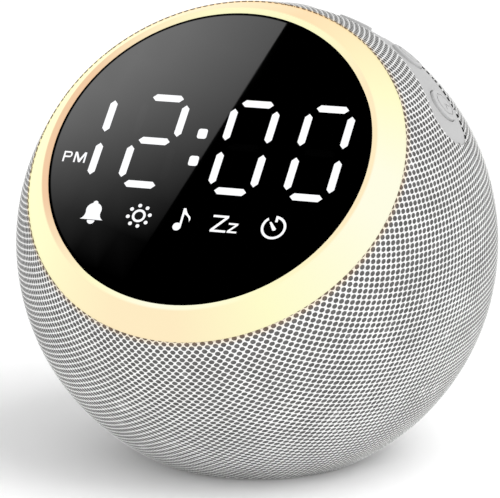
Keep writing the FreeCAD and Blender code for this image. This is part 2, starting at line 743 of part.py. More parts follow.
def on_lens(pipes):
    """Drawn light pipes, sized for this lens and lifted to end flush with its top."""
    placed = []
    for drawn in pipes:
        copy = drawn.copy()
        copy.scale(DRAWING_SCALE)
        placed.append(moved(copy, z=PIPE_BOTTOM))
    return placed


def segment_pipes():
    lit = []
    dark = []
    for x, has, shown in zip(DIGIT_X, DIGIT_HAS, DIGIT_LIT):
        outlines = digit_bars(x)
        for letter in has:
            group = lit if letter in shown else dark
            group.append(pipe(outlines[letter]))
    return on_lens(lit), on_lens(dark)


def colon_pipes():
    dots = []
    for sign in (-1, 1):
        y = DIGIT_Y - COLON_DROP + sign * COLON_HALF_PITCH
        x = COLON_X + DIGIT_LEAN * (y - DIGIT_Y)
        dot = rounded_box(COLON_SIZE[0], COLON_SIZE[1], COLON_CORNER, 0.0, DRAWN_LENGTH)
        dots.append(moved(dot, x, y))
    return on_lens(dots)


def letter_p(x, y, height):
    w = SIGN_STROKE * 0.72
    stem = [(0, 0), (w, 0), (w, height), (0, height)]
    bowl_low = height * 0.42
    width = height * 0.78
    bowl = pipe([(0, bowl_low), (width, bowl_low), (width, height), (0, height)])
    eye = prism([(w, bowl_low + w), (width - w, bowl_low + w), (width - w, height - w), (w, height - w)],
                -1.0, DRAWN_LENGTH + 1.0)
    corner = (height - bowl_low) / 2.0 - SLIP
    far_edges = [e for e in bowl.Edges if e.BoundBox.XMin > width - SLIP and e.BoundBox.ZLength > 1.0]
    bowl = bowl.makeFillet(corner, far_edges).cut(eye)
    return moved(pipe(stem).fuse(bowl), x, y)


def letter_m(x, y, height):
    w = SIGN_STROKE * 0.72
    width = height * 1.05
    mid = width / 2.0
    dip = height * 0.02
    left = [(0, height), (0, 0), (w, 0), (w, height - 2 * w), (mid - w / 2, dip)]
    right = [(width - px, py) for px, py in reversed(left)]
    points = left + right + [(width - 1.35 * w, height), (mid, dip + 2.1 * w), (1.35 * w, height)]
    return moved(pipe(points), x, y)


def letter_z(x, y, width, height, stroke):
    """A Z centred on x, y."""
    left = -width / 2.0
    right = width / 2.0
    top = height / 2.0
    points = [(left, top), (right, top), (right, top - stroke), (left + 1.5 * stroke, -top + stroke),
              (right, -top + stroke), (right, -top), (left, -top), (left, -top + stroke),
              (right - 1.5 * stroke, top - stroke), (left, top - stroke)]
    return moved(pipe(points), x, y)


def bell_pipe():
    x, y = BELL_AT
    brim = [V(-2.6, -1.75, 0), V(-1.75, -0.95, 0), V(-1.75, 0.55, 0)]
    top = [V(-0.55, 2.15, 0), V(0, 2.75, 0), V(0.55, 2.15, 0)]
    mirror = [V(-p.x, p.y, 0) for p in reversed(brim)]
    left_side = Part.Arc(brim[0], V(-1.86, -1.0, 0), V(-1.75, 0.4, 0)).toShape()
    left_shoulder = Part.Arc(V(-1.75, 0.4, 0), V(-1.42, 1.55, 0), top[0]).toShape()
    knob = Part.Arc(top[0], top[1], top[2]).toShape()
    right_shoulder = Part.Arc(top[2], V(1.42, 1.55, 0), V(1.75, 0.4, 0)).toShape()
    right_side = Part.Arc(V(1.75, 0.4, 0), V(1.86, -1.0, 0), mirror[-1]).toShape()
    brim_line = Part.makeLine(mirror[-1], brim[0])
    outline = Part.Wire([left_side, left_shoulder, knob, right_shoulder, right_side, brim_line])
    bell = Part.Face(outline).extrude(V(0, 0, DRAWN_LENGTH))
    clapper = cyl(0.85, 0, DRAWN_LENGTH, 0, -1.95).common(block(0, -2.9, 0, 3.0, 2.0, DRAWN_LENGTH))
    return [moved(bell, x, y), moved(clapper, x, y)]


def sun_pipes():
    x, y = SUN_AT
    ring = moved(tube(SUN_RING[0], SUN_RING[1], 0, DRAWN_LENGTH), x, y)
    rays = on_circle(SUN_RAY_CIRCLE, SUN_RAY_COUNT, SUN_RAY_TURN)
    return [ring] + [cyl(SUN_RAY_RADIUS, 0, DRAWN_LENGTH, x + dx, y + dy) for dx, dy, _ in rays]


def note_pipe():
    x, y = NOTE_AT
    head = cyl(0.92, 0, DRAWN_LENGTH)
    stem = pipe([(0.42, 0.0), (0.92, 0.0), (0.98, 4.4), (0.48, 4.4)])
    flag_edges = [
        Part.makeLine(V(0.93, 4.4, 0), V(1.05, 4.4, 0)),
        Part.Arc(V(1.05, 4.4, 0), V(1.45, 3.5, 0), V(2.3, 2.6, 0)).toShape(),
        Part.Arc(V(2.3, 2.6, 0), V(2.55, 2.0, 0), V(2.35, 1.35, 0)).toShape(),
        Part.Arc(V(2.35, 1.35, 0), V(1.95, 2.3, 0), V(0.93, 3.0, 0)).toShape(),
        Part.makeLine(V(0.93, 3.0, 0), V(0.93, 4.4, 0)),
    ]
    flag = Part.Face(Part.Wire(flag_edges)).extrude(V(0, 0, DRAWN_LENGTH))
    return moved(fuse_all([head, stem, flag]), x, y)


def timer_pipes():
    x, y = TIMER_AT
    ring = tube(2.16, 2.72, 0, DRAWN_LENGTH)
    opening = prism([(0, 0), (0.0, 4.0), (-2.0, 4.0), (-1.5, 1.9)], -1.0, DRAWN_LENGTH + 1.0)
    tick = block(0.28, 2.0, 0, 0.56, 1.44, DRAWN_LENGTH)
    hand_outline = [(-1.15, 1.15), (-0.78, 1.3), (0.62, -0.25), (0.45, -0.62), (0.05, -0.75), (-0.2, -0.55)]
    hand = pipe(hand_outline)
    return [moved(ring.cut(opening).fuse(tick), x, y), moved(hand, x, y)]


def sign_pipes():
    big_z = letter_z(BIG_Z_AT[0], BIG_Z_AT[1], 3.45, 3.95, SIGN_STROKE)
    small_z = letter_z(SMALL_Z_AT[0], SMALL_Z_AT[1], 2.1, 2.3, SIGN_STROKE * 0.8)
    return on_lens(bell_pipe() + sun_pipes() + [note_pipe(), big_z, small_z] + timer_pipes())


def pm_pipes():
    low_y = PM_AT[1] - PM_HEIGHT / 2.0
    return on_lens([letter_p(PM_AT[0] - 2.75, low_y, PM_HEIGHT), letter_m(PM_AT[0] - 0.2, low_y, PM_HEIGHT)])


def led_places():
    """One LED under the middle of each segment and colon dot, and one under each sign."""
    lit, dark = segment_pipes()
    middles = [shape.BoundBox.Center for shape in lit + dark + colon_pipes()]
    signs = (PM_AT, BELL_AT, SUN_AT, NOTE_AT, BIG_Z_AT, SMALL_Z_AT, TIMER_AT)
    under_signs = [(x * DRAWING_SCALE, y * DRAWING_SCALE) for x, y in signs]
    return [(middle.x, middle.y) for middle in middles] + under_signs


def display_screw_places():
    turns = [math.radians(angle) for angle in DISPLAY_SCREW_ANGLES]
    return [(DISPLAY_SCREW_CIRCLE * math.cos(t), DISPLAY_SCREW_CIRCLE * math.sin(t)) for t in turns]


def make_display_group():
    lit, dark = segment_pipes()
    colon = colon_pipes()
    mark = pm_pipes()
    signs = sign_pipes()
    everything = lit + dark + colon + mark + signs

    lens = cyl(LENS_RADIUS, LENS_UNDER, LENS_HEIGHT)
    top_edge = [e for e in lens.Edges if e.BoundBox.ZMin > LENS_HEIGHT - SLIP]
    lens = lens.makeChamfer(LENS_BEVEL, top_edge)
    block_body = cyl(DISPLAY_BOARD_RADIUS, BOARD_TOP, LENS_UNDER - SLIP)
    cavity = cyl(DISPLAY_BOARD_RADIUS - BLOCK_SKIRT, BOARD_TOP - 1.0, PIPE_BOTTOM)
    board = cyl(DISPLAY_BOARD_RADIUS, SEAT_HEIGHT, BOARD_TOP)
    screws = []
    for x, y in display_screw_places():
        cavity = cavity.cut(cyl(RING_BOSS_RADIUS, BOARD_TOP - 2.0, PIPE_BOTTOM + 1.0, x, y))
        board = board.cut(cyl(SCREW_HOLE, SEAT_HEIGHT - 1.0, BOARD_TOP + 1.0, x, y))
        fastener = moved(upside_down(screw(BOARD_THICKNESS + 3.0)), x, y, SEAT_HEIGHT)
        screws.append(face_to_ball(fastener))
    block_body = block_body.cut(cavity)
    for x, y in display_screw_places():
        block_body = block_body.cut(cyl(PILOT_HOLE, BOARD_TOP - 1.0, BOARD_TOP + 3.4, x, y))
    lens = lens.cut(everything)
    block_body = block_body.cut(everything)

    write("display_lens", [face_to_ball(lens)])
    write("display_light_block", [face_to_ball(block_body)])
    write("lit_segments", [face_to_ball(s) for s in lit])
    write("dark_segments", [face_to_ball(s) for s in dark])
    write("colon_dots", [face_to_ball(s) for s in colon])
    write("pm_mark", [face_to_ball(s) for s in mark])
    write("status_signs", [face_to_ball(s) for s in signs])
    write("display_board", [face_to_ball(board)])
    leds = [block(x, y, BOARD_TOP, *SEGMENT_LED_SIZE) for x, y in led_places()]
    write("segment_leds", [face_to_ball(s) for s in leds])
    write("display_screws", screws)
    gasket = tube(SHELF_INNER_RADIUS + CLEARANCE, LENS_RADIUS - SLIP, SHELF_TOP, LENS_UNDER)
    write("lens_gasket", [face_to_ball(gasket)])
    connector = block(0, PLUG_Y, SEAT_HEIGHT - PLUG_SIZE[2], *PLUG_SIZE)
    write("display_connector", [face_to_ball(connector)])


# ---------------------------------------------------------------- light ring
def ring_section():
    """The diffuser's section: a domed top, an inner shelf for the lens and a skirt."""
    outer_x = RING_OUTER_RADIUS
    land_x = RING_INNER_RADIUS + RING_LAND
    inner_arc = RING_TOP_RADIUS - RING_WALL
    top = arc_about_centre(RING_TOP_RADIUS, outer_x, land_x)
    a = (outer_x, math.sqrt(RING_TOP_RADIUS ** 2 - outer_x ** 2))
    b = (land_x, math.sqrt(RING_TOP_RADIUS ** 2 - land_x ** 2))
    c = (RING_INNER_RADIUS, b[1] - RING_LAND_RISE)
    d = (RING_INNER_RADIUS, SHELF_TOP)
    e = (SHELF_INNER_RADIUS, SHELF_TOP)
    f = (SHELF_INNER_RADIUS, SHELF_UNDER)
    under_x = RING_INNER_RADIUS + 1.5
    g = (under_x, SHELF_UNDER)
    h = (under_x, math.sqrt(inner_arc ** 2 - under_x ** 2))
    under = arc_about_centre(inner_arc, under_x, SKIRT_INNER_RADIUS)
    i = (SKIRT_INNER_RADIUS, math.sqrt(inner_arc ** 2 - SKIRT_INNER_RADIUS ** 2))
    j = (SKIRT_INNER_RADIUS, SEAT_HEIGHT)
    k = (outer_x, SEAT_HEIGHT)
    return [top, line(b, c), line(c, d), line(d, e), line(e, f), line(f, g), line(g, h), under,
            line(i, j), line(j, k), line(k, a)]


def make_ring_group():
    ring = revolve(ring_section())
    wall_radius = SHELF_INNER_RADIUS + CARRIER_WALL
    edge_radius = SKIRT_INNER_RADIUS - CLEARANCE
    carrier = tube(SHELF_INNER_RADIUS, edge_radius, SEAT_HEIGHT, CARRIER_TOP)
    carrier = carrier.fuse(tube(SHELF_INNER_RADIUS, wall_radius, SEAT_HEIGHT, SHELF_UNDER - SLIP))
    board = tube(wall_radius + CLEARANCE, edge_radius, CARRIER_TOP, RING_BOARD_TOP)
    screws = []
    screw_length = SEAT_THICKNESS + CARRIER_THICKNESS + 3.0
    boss_core = Part.makeSphere(RING_TOP_RADIUS - RING_WALL / 2.0)
    for x, y, _ in on_circle(RING_SCREW_CIRCLE, RING_SCREW_COUNT, 45.0):
        boss = cyl(RING_BOSS_RADIUS, CARRIER_TOP, LENS_HEIGHT, x, y).common(boss_core)
        ring = ring.fuse(boss)
        ring = ring.cut(cyl(PILOT_HOLE, CARRIER_TOP - 1.0, CARRIER_TOP + 3.2, x, y))
        board = board.cut(cyl(RING_BOSS_RADIUS + CLEARANCE, CARRIER_TOP - 1.0, RING_BOARD_TOP + 1.0, x, y))
        carrier = carrier.cut(cyl(SCREW_HOLE, SEAT_HEIGHT - 1.0, CARRIER_TOP + 1.0, x, y))
        fastener = moved(upside_down(screw(screw_length)), x, y, SEAT_HEIGHT - SEAT_THICKNESS)
        screws.append(face_to_ball(fastener))
    leds = []
    half_step = 180.0 / RING_LED_COUNT
    for x, y, angle in on_circle(RING_LED_CIRCLE, RING_LED_COUNT, half_step):
        led = block(0, 0, RING_BOARD_TOP, RING_LED_SIZE[1], RING_LED_SIZE[0], RING_LED_SIZE[2])
        led.rotate(ORIGIN, Z_AXIS, angle)
        leds.append(face_to_ball(moved(led, x, y)))
    write("light_ring", [face_to_ball(ring)])
    write("ring_carrier", [face_to_ball(carrier)])
    write("ring_led_board", [face_to_ball(board)])
    write("ring_leds", leds)
    write("ring_screws", screws)


# ---------------------------------------------------------------- loudspeaker
def speaker_place(shape):
    return back_to_ball(shape, 0.0, SPEAKER_LIFT)


def speaker_ears(radius, low, high):
    places = on_circle(SPEAKER_EAR_CIRCLE, SPEAKER_SCREW_COUNT, 45.0)
    return [cyl(radius, low, high, x, y) for x, y, _ in places]


def outside_opening(ear, low, high):
    return ear.cut(cyl(SPEAKER_OPEN_RADIUS + SLIP, low - 1.0, high + 1.0))


def basket_radius(height):
    """The inner radius of the basket's sloping wall at a height."""
    top = SPEAKER_FRONT - SPEAKER_FRAME_THICKNESS
    share = (top - height) / (top - BASKET_REAR)
    return ROLL_OUTER + share * (SPEAKER_REAR_RADIUS - ROLL_OUTER)


def make_speaker_frame():
    front = SPEAKER_FRONT
    low = front - SPEAKER_FRAME_THICKNESS
    rear_outer = SPEAKER_REAR_RADIUS + SPEAKER_BASKET_WALL
    frame = turned([
        (SPEAKER_OPEN_RADIUS, front),
        (SPEAKER_FRAME_RADIUS, front),
        (SPEAKER_FRAME_RADIUS, low),
        (SPEAKER_OPEN_RADIUS, low),
        (rear_outer, BASKET_REAR),
        (rear_outer, PLATE_TOP),
        (WINDING_RADIUS + COIL_GAP, PLATE_TOP),
        (WINDING_RADIUS + COIL_GAP, BASKET_REAR),
        (SPEAKER_REAR_RADIUS, BASKET_REAR),
        (ROLL_OUTER, low),
        (ROLL_OUTER, ROLL_SEAT),
        (SPEAKER_OPEN_RADIUS, ROLL_SEAT),
    ])
    ledge_outer = basket_radius(SPIDER_LOW - SPIDER_LEDGE) + SPEAKER_BASKET_WALL / 2.0
    ledge_inner = basket_radius(SPIDER_LOW) - SPIDER_LEDGE
    frame = frame.fuse(tube(ledge_inner, ledge_outer, SPIDER_LOW - SPIDER_LEDGE, SPIDER_LOW))
    window_low = low - SPEAKER_BASKET_WALL - SPEAKER_WINDOW_SIZE[1]
    for x, y, angle in on_circle(SPEAKER_OPEN_RADIUS, SPEAKER_WINDOWS):
        wide, high = SPEAKER_WINDOW_SIZE
        window = block(0, 0, window_low, wide, wide, high)
        window.rotate(ORIGIN, Z_AXIS, angle)
        frame = frame.cut(moved(window, x, y))
    ears = speaker_ears(SPEAKER_EAR_RADIUS, low, front)
    holes = speaker_ears(SCREW_HOLE, low - 1.0, front + 1.0)
    for ear, hole in zip(ears, holes):
        frame = frame.fuse(outside_opening(ear, low, front)).cut(hole)
    write("speaker_frame", [speaker_place(frame)])


def make_speaker_motor():
    """The magnet, its two iron pieces and the coil in the gap between them."""
    plate = tube(GAP_OUTER_RADIUS, PLATE_RADIUS, MAGNET_TOP, PLATE_TOP)
    write("speaker_top_plate", [speaker_place(plate)])
    magnet = tube(GAP_OUTER_RADIUS + MAGNET_BORE_GAP, MAGNET_RADIUS, YOKE_TOP, MAGNET_TOP)
    write("speaker_magnet", [speaker_place(magnet)])
    yoke = cyl(PLATE_RADIUS, YOKE_TOP - YOKE_THICKNESS, YOKE_TOP)
    pole = cyl(POLE_RADIUS, YOKE_TOP - SLIP, PLATE_TOP)
    write("speaker_yoke", [speaker_place(yoke.fuse(pole))])
    former_low = MAGNET_TOP - COIL_BELOW_PLATE
    former = tube(COIL_INNER_RADIUS, COIL_OUTER_RADIUS, former_low, CONE_LOW + CONE_THICKNESS)
    middle = (PLATE_TOP + MAGNET_TOP) / 2.0
    half = COIL_WINDING_LENGTH / 2.0
    winding = tube(COIL_OUTER_RADIUS - COIL_WALL / 2.0, WINDING_RADIUS, middle - half, middle + half)
    write("voice_coil", [speaker_place(former.fuse(winding))])


def make_speaker_cone():
    """The cone, its dust cap, and the two soft rings that let it move."""
    cone = turned([
        (COIL_OUTER_RADIUS, CONE_LOW),
        (CONE_RADIUS - CONE_RIM, CONE_HIGH),
        (CONE_RADIUS, CONE_HIGH),
        (CONE_RADIUS, ROLL_SEAT),
        (CONE_RADIUS - CONE_RIM, ROLL_SEAT),
        (COIL_OUTER_RADIUS, CONE_LOW + CONE_THICKNESS),
    ])
    write("speaker_cone", [speaker_place(cone)])

    slope = CONE_DEPTH / (CONE_RADIUS - CONE_RIM - COIL_OUTER_RADIUS)
    foot = CONE_LOW + CONE_THICKNESS + slope * (CAP_RADIUS - COIL_OUTER_RADIUS)
    cap_sphere = (CAP_RADIUS ** 2 + CAP_HEIGHT ** 2) / (2.0 * CAP_HEIGHT)
    middle = V(0, 0, foot + CAP_HEIGHT - cap_sphere)
    cap = Part.makeSphere(cap_sphere, middle).cut(Part.makeSphere(cap_sphere - CONE_THICKNESS, middle))
    write("dust_cap", [speaker_place(cap.common(above(foot + SLIP)))])

    t = ROLL_THICKNESS
    crest = ROLL_SEAT + ROLL_HEIGHT
    middle = (CONE_RADIUS + ROLL_OUTER) / 2.0
    outer = SPEAKER_OPEN_RADIUS - SLIP
    inner = CONE_RADIUS - CONE_RIM
    high = ROLL_SEAT + t
    over = Part.Arc(V(CONE_RADIUS, 0, high), V(middle, 0, crest + t), V(ROLL_OUTER, 0, high))
    under = Part.Arc(V(ROLL_OUTER, 0, ROLL_SEAT), V(middle, 0, crest), V(CONE_RADIUS, 0, ROLL_SEAT))
    roll = revolve([
        over.toShape(),
        line((ROLL_OUTER, high), (outer, high)),
        line((outer, high), (outer, ROLL_SEAT)),
        line((outer, ROLL_SEAT), (ROLL_OUTER, ROLL_SEAT)),
        under.toShape(),
        line((CONE_RADIUS, ROLL_SEAT), (inner, ROLL_SEAT)),
        line((inner, ROLL_SEAT), (inner, high)),
        line((inner, high), (CONE_RADIUS, high)),
    ])
    write("speaker_surround", [speaker_place(roll)])
    spider_radius = basket_radius(SPIDER_LOW) - CLEARANCE
    spider = tube(COIL_OUTER_RADIUS + SLIP, spider_radius, SPIDER_LOW, SPIDER_LOW + SPIDER_THICKNESS)
    write("speaker_spider", [speaker_place(spider)])


def make_speaker_screws():
    low = SPEAKER_FRONT - SPEAKER_FRAME_THICKNESS
    screws = []
    for x, y, _ in on_circle(SPEAKER_EAR_CIRCLE, SPEAKER_SCREW_COUNT, 45.0):
        fastener = moved(upside_down(screw(SPEAKER_FRAME_THICKNESS + SPEAKER_SINK + 1.0)), x, y, low)
        screws.append(speaker_place(fastener))
    write("speaker_screws", screws)


def speaker_collar():
    """The tube and screw bosses that the loudspeaker sits on, inside the rear shell."""
    front = SPEAKER_FRONT
    high = BALL_RADIUS
    collar = tube(SPEAKER_OPEN_RADIUS, SPEAKER_OPEN_RADIUS + COLLAR_WALL, front, high)
    bosses = speaker_ears(SPEAKER_EAR_RADIUS, front, high)
    holes = speaker_ears(PILOT_HOLE, front - 1.0, front + SPEAKER_SINK + 1.5)
    for boss, hole in zip(bosses, holes):
        collar = collar.fuse(outside_opening(boss, front, high)).cut(hole)
    return speaker_place(collar)


def grille_holes():
    """A hexagonal field of round holes along the loudspeaker's axis."""
    holes = []
    row_step = GRILLE_PITCH * math.sqrt(3) / 2.0
    rows = int(GRILLE_RADIUS / row_step)
    columns = int(GRILLE_RADIUS / GRILLE_PITCH) + 1
    for row in range(-rows, rows + 1):
        shift = GRILLE_PITCH / 2.0 if row % 2 else 0.0
        for column in range(-columns, columns + 1):
            x = column * GRILLE_PITCH + shift
            y = row * row_step
            if math.hypot(x, y) < GRILLE_RADIUS:
                hole = cyl(GRILLE_HOLE_RADIUS, SPEAKER_FRONT + 1.0, BALL_RADIUS + 2.0, x, y)
                holes.append(speaker_place(hole))
    return holes


# ---------------------------------------------------------------- power socket
def port_place(shape):
    return back_to_ball(shape, PORT_LATITUDE)


def port_body(extra):
    """The port panel's outside, grown by extra, as a tall prism through the shell."""
    wide = PORT_SIZE[0] + 2 * extra
    high = PORT_SIZE[1] + 2 * extra
    return rounded_box(wide, high, PORT_CORNER, PORT_FLANGE_LOW, BALL_RADIUS + 2.0)


def make_port_group():
    low = PORT_FLANGE_LOW
    panel = rounded_box(PORT_SIZE[0], PORT_SIZE[1], PORT_CORNER, low, PORT_FACE)
    top_edges = [e for e in panel.Edges if e.BoundBox.ZMin > PORT_FACE - SLIP]
    panel = panel.makeFillet(PORT_EDGE, top_edges)
    flange_x = PORT_SIZE[0] + 2 * PORT_FLANGE
    flange_y = PORT_SIZE[1] + 2 * PORT_FLANGE
    flange = rounded_box(flange_x, flange_y, PORT_CORNER, low, PORT_FLANGE_TOP)
    straight = (SOCKET_SIZE[0] - SOCKET_SIZE[1]) / 2.0
    hole = stadium(straight, SOCKET_RADIUS + CLEARANCE, low - 1.0, PORT_FACE + 1.0)
    write("port_panel", [port_place(panel.fuse(flange).cut(hole))])

    back = SOCKET_MOUTH - SOCKET_LENGTH
    can = stadium(straight, SOCKET_RADIUS, back, SOCKET_MOUTH)
    inside = stadium(straight, SOCKET_RADIUS - SOCKET_WALL, back + SOCKET_WALL, SOCKET_MOUTH + 1.0)
    tongue = block(0, 0, back + SOCKET_WALL - SLIP, *TONGUE_SIZE)
    write("usb_socket", [port_place(can.cut(inside).fuse(tongue))])
    board = block(0, PORT_BOARD_Y, PORT_BOARD_END, *PORT_BOARD_SIZE)
    write("port_board", [port_place(board)])


# ---------------------------------------------------------------- shells, cloth and base
def shell_screw_places():
    return on_circle(SHELL_SCREW_CIRCLE, SHELL_SCREW_COUNT, 45.0)


def make_front_shell():
    shell = ball_shell(SHELL_OUTER, SHELL_INNER).common(above(0.0))
    seat = tube(SEAT_INNER_RADIUS, BALL_RADIUS, SEAT_HEIGHT - SEAT_THICKNESS, SEAT_HEIGHT)
    wall_middle = Part.makeSphere(SHELL_OUTER - SHELL_WALL / 2.0)
    shell = shell.fuse(seat.common(wall_middle))
    shell = shell.cut(cyl(RING_HOLE_RADIUS, SEAT_HEIGHT, FAR))
    for x, y, angle in shell_screw_places():
        boss = cyl(SHELL_BOSS_RADIUS, 0.0, SHELL_BOSS_FRONT, x, y)
        boss = boss.fuse(web(angle, SHELL_SCREW_CIRCLE, LIP_HEIGHT + CLEARANCE, SHELL_BOSS_FRONT))
        shell = shell.fuse(boss.common(wall_middle))
        shell = shell.cut(cyl(PILOT_HOLE, -1.0, SHELL_BOSS_FRONT - 1.0, x, y))
    for azimuth in bracket_screw_azimuths():
        boss = cyl(SHELL_BOSS_RADIUS, BRACKET_TOP, SHELL_INNER + SHELL_WALL / 2.0)
        boss = boss.cut(cyl(PILOT_HOLE, BRACKET_TOP - 1.0, BRACKET_TOP + 2.2))
        pilot = cyl(PILOT_HOLE, BRACKET_TOP - 1.0, BRACKET_TOP + 2.2)
        shell = shell.fuse(key_to_face(boss, azimuth)).cut(key_to_face(pilot, azimuth))
    for x, y, _ in on_circle(RING_SCREW_CIRCLE, RING_SCREW_COUNT, 45.0):
        shell = shell.cut(cyl(SCREW_HOLE, SEAT_HEIGHT - SEAT_THICKNESS - 1.0, SEAT_HEIGHT + 1.0, x, y))
    shell = shell.cut(strip_tool(STRIP_OPENING_HALF))
    write("front_shell", [face_to_ball(shell)])


def make_rear_shell():
    shell = ball_shell(SHELL_OUTER, SHELL_INNER).common(below(0.0))
    lip_outer = SHELL_INNER - CLEARANCE - SLIP
    lip = tube(lip_outer - LIP_WALL, lip_outer, -LIP_ROOT, LIP_HEIGHT)
    root = tube(lip_outer - LIP_WALL, SHELL_INNER + SHELL_WALL / 2.0, -LIP_ROOT, -SLIP)
    wall_middle = Part.makeSphere(SHELL_OUTER - SHELL_WALL / 2.0)
    shell = shell.fuse(lip).fuse(root.common(wall_middle))
    for x, y, angle in shell_screw_places():
        boss = cyl(SHELL_BOSS_RADIUS, -SHELL_BOSS_REAR, 0.0, x, y)
        boss = boss.fuse(web(angle, SHELL_SCREW_CIRCLE, -SHELL_BOSS_REAR, -SLIP))
        shell = shell.cut(cyl(SHELL_BOSS_RADIUS + CLEARANCE, 0.0, LIP_HEIGHT + 1.0, x, y))
        shell = shell.fuse(boss.common(wall_middle))
        shell = shell.cut(cyl(SCREW_HOLE, -SHELL_BOSS_REAR - 1.0, 1.0, x, y))
        shell = shell.cut(cyl(HEAD_RADIUS + CLEARANCE, -FAR, -SHELL_BOSS_REAR + HEAD_HEIGHT + 1.0, x, y))
    shell = face_to_ball(shell)

    inside = Part.makeSphere(SHELL_OUTER - SHELL_WALL / 2.0)
    shell = shell.fuse(speaker_collar().common(inside))
    shell = shell.cut(grille_holes())
    shell = shell.cut(below(BASE_TOP_Z + SLIP))
    boss_low = BASE_TOP_Z + SLIP
    boss_high = BASE_TOP_Z + BASE_BOSS_HEIGHT
    front_half = face_to_ball(above(-SLIP))
    for x, y, angle in on_circle(BASE_SCREW_CIRCLE, BASE_SCREW_COUNT):
        boss = cyl(BASE_BOSS_RADIUS, boss_low, boss_high, x, y)
        boss = boss.fuse(web(angle, BASE_SCREW_CIRCLE, boss_low, boss_high)).cut(front_half)
        shell = shell.fuse(boss.common(inside))
        shell = shell.cut(cyl(PILOT_HOLE, boss_low - 1.0, boss_low + BASE_SCREW_GRIP + 0.3, x, y))
    shell = shell.cut(port_place(port_body(CLEARANCE)))
    write("rear_shell", [shell])

    screws = []
    for x, y, _ in shell_screw_places():
        head_seat = -SHELL_BOSS_REAR + HEAD_HEIGHT + 1.0
        fastener = moved(upside_down(screw(-head_seat + 5.0)), x, y, head_seat)
        screws.append(face_to_ball(fastener))
    write("shell_screws", screws)


def make_cloth():
    cloth = ball_shell(BALL_RADIUS, CLOTH_INNER)
    cloth = cloth.cut(cyl(RING_HOLE_RADIUS, 0.0, FAR))
    strip_cut = STRIP_HALF + math.degrees(CLEARANCE / BALL_RADIUS)
    cloth = cloth.cut(strip_tool(strip_cut))
    cloth = face_to_ball(cloth)
    cloth = cloth.cut(below(CLOTH_EDGE_Z))
    cloth = cloth.cut(port_place(port_body(CLEARANCE)))
    write("cloth_cover", [cloth])


def make_base_group():
    plate = Part.makeSphere(SHELL_OUTER).common(block(0, 0, CLOTH_EDGE_Z, FAR, FAR, BASE_THICKNESS))
    plate = plate.cut(tube(FOOT_INNER_RADIUS - CLEARANCE, FOOT_OUTER_RADIUS + CLEARANCE,
                           CLOTH_EDGE_Z - 1.0, FLOOR_Z + FOOT_THICKNESS))
    screws = []
    for x, y, _ in on_circle(BASE_SCREW_CIRCLE, BASE_SCREW_COUNT):
        plate = plate.cut(cyl(SCREW_HOLE, CLOTH_EDGE_Z - 1.0, BASE_TOP_Z + 1.0, x, y))
        pocket_top = CLOTH_EDGE_Z + BASE_HEAD_POCKET
        plate = plate.cut(cyl(HEAD_RADIUS + CLEARANCE, CLOTH_EDGE_Z - 1.0, pocket_top, x, y))
        fastener = upside_down(screw(BASE_THICKNESS - BASE_HEAD_POCKET + BASE_SCREW_GRIP))
        screws.append(moved(fastener, x, y, CLOTH_EDGE_Z + BASE_HEAD_POCKET))
    board_screws = []
    for x, y in POST_PLACES:
        plate = plate.fuse(cyl(POST_RADIUS, BASE_TOP_Z - SLIP, MAIN_BOARD_Z, x, y))
        plate = plate.cut(cyl(PILOT_HOLE, BASE_TOP_Z + 1.0, MAIN_BOARD_Z + 1.0, x, y))
        board_screws.append(moved(screw(BOARD_THICKNESS + BOARD_SCREW_GRIP), x, y, MAIN_BOARD_TOP))
    write("base_plate", [plate])
    write("base_screws", screws)
    write("board_screws", board_screws)
    write("rubber_foot", [tube(FOOT_INNER_RADIUS, FOOT_OUTER_RADIUS, FLOOR_Z, FLOOR_Z + FOOT_THICKNESS)])


# ---------------------------------------------------------------- electronics
def make_main_board():
    board = cyl(MAIN_BOARD_RADIUS, MAIN_BOARD_Z, MAIN_BOARD_TOP)
    for x, y in POST_PLACES:
        board = board.cut(cyl(SCREW_HOLE, MAIN_BOARD_Z - 1.0, MAIN_BOARD_TOP + 1.0, x, y))
    write("main_board", [board])
    write("board_chips", [block(x, y, MAIN_BOARD_TOP, *size) for x, y, *size in CHIPS])
    cans = [cyl(radius, MAIN_BOARD_TOP, MAIN_BOARD_TOP + tall, x, y) for x, y, radius, tall in CAPACITORS]
    write("board_capacitors", cans)
    sockets = (RIBBON_SOCKET, SPEAKER_SOCKET, POWER_SOCKET)
    write("board_connectors", [block(x, y, MAIN_BOARD_TOP, *size) for x, y, *size in sockets])
    x, y = CELL_AT
    cell_low = MAIN_BOARD_TOP + HOLDER_FLOOR
    holder = cyl(CELL_RADIUS + CLEARANCE + HOLDER_WALL, MAIN_BOARD_TOP, cell_low + CELL_THICKNESS, x, y)
    holder = holder.cut(cyl(CELL_RADIUS + CLEARANCE, cell_low, cell_low + CELL_THICKNESS + 1.0, x, y))
    write("cell_holder", [holder])
    write("coin_cell", [cyl(CELL_RADIUS, cell_low, cell_low + CELL_THICKNESS, x, y)])


def socket_top(socket, side=0):
    """The place on a socket's top where a wire goes in."""
    return V(socket[0] + side * LEAD_PITCH / 2.0, socket[1], MAIN_BOARD_TOP + socket[4])


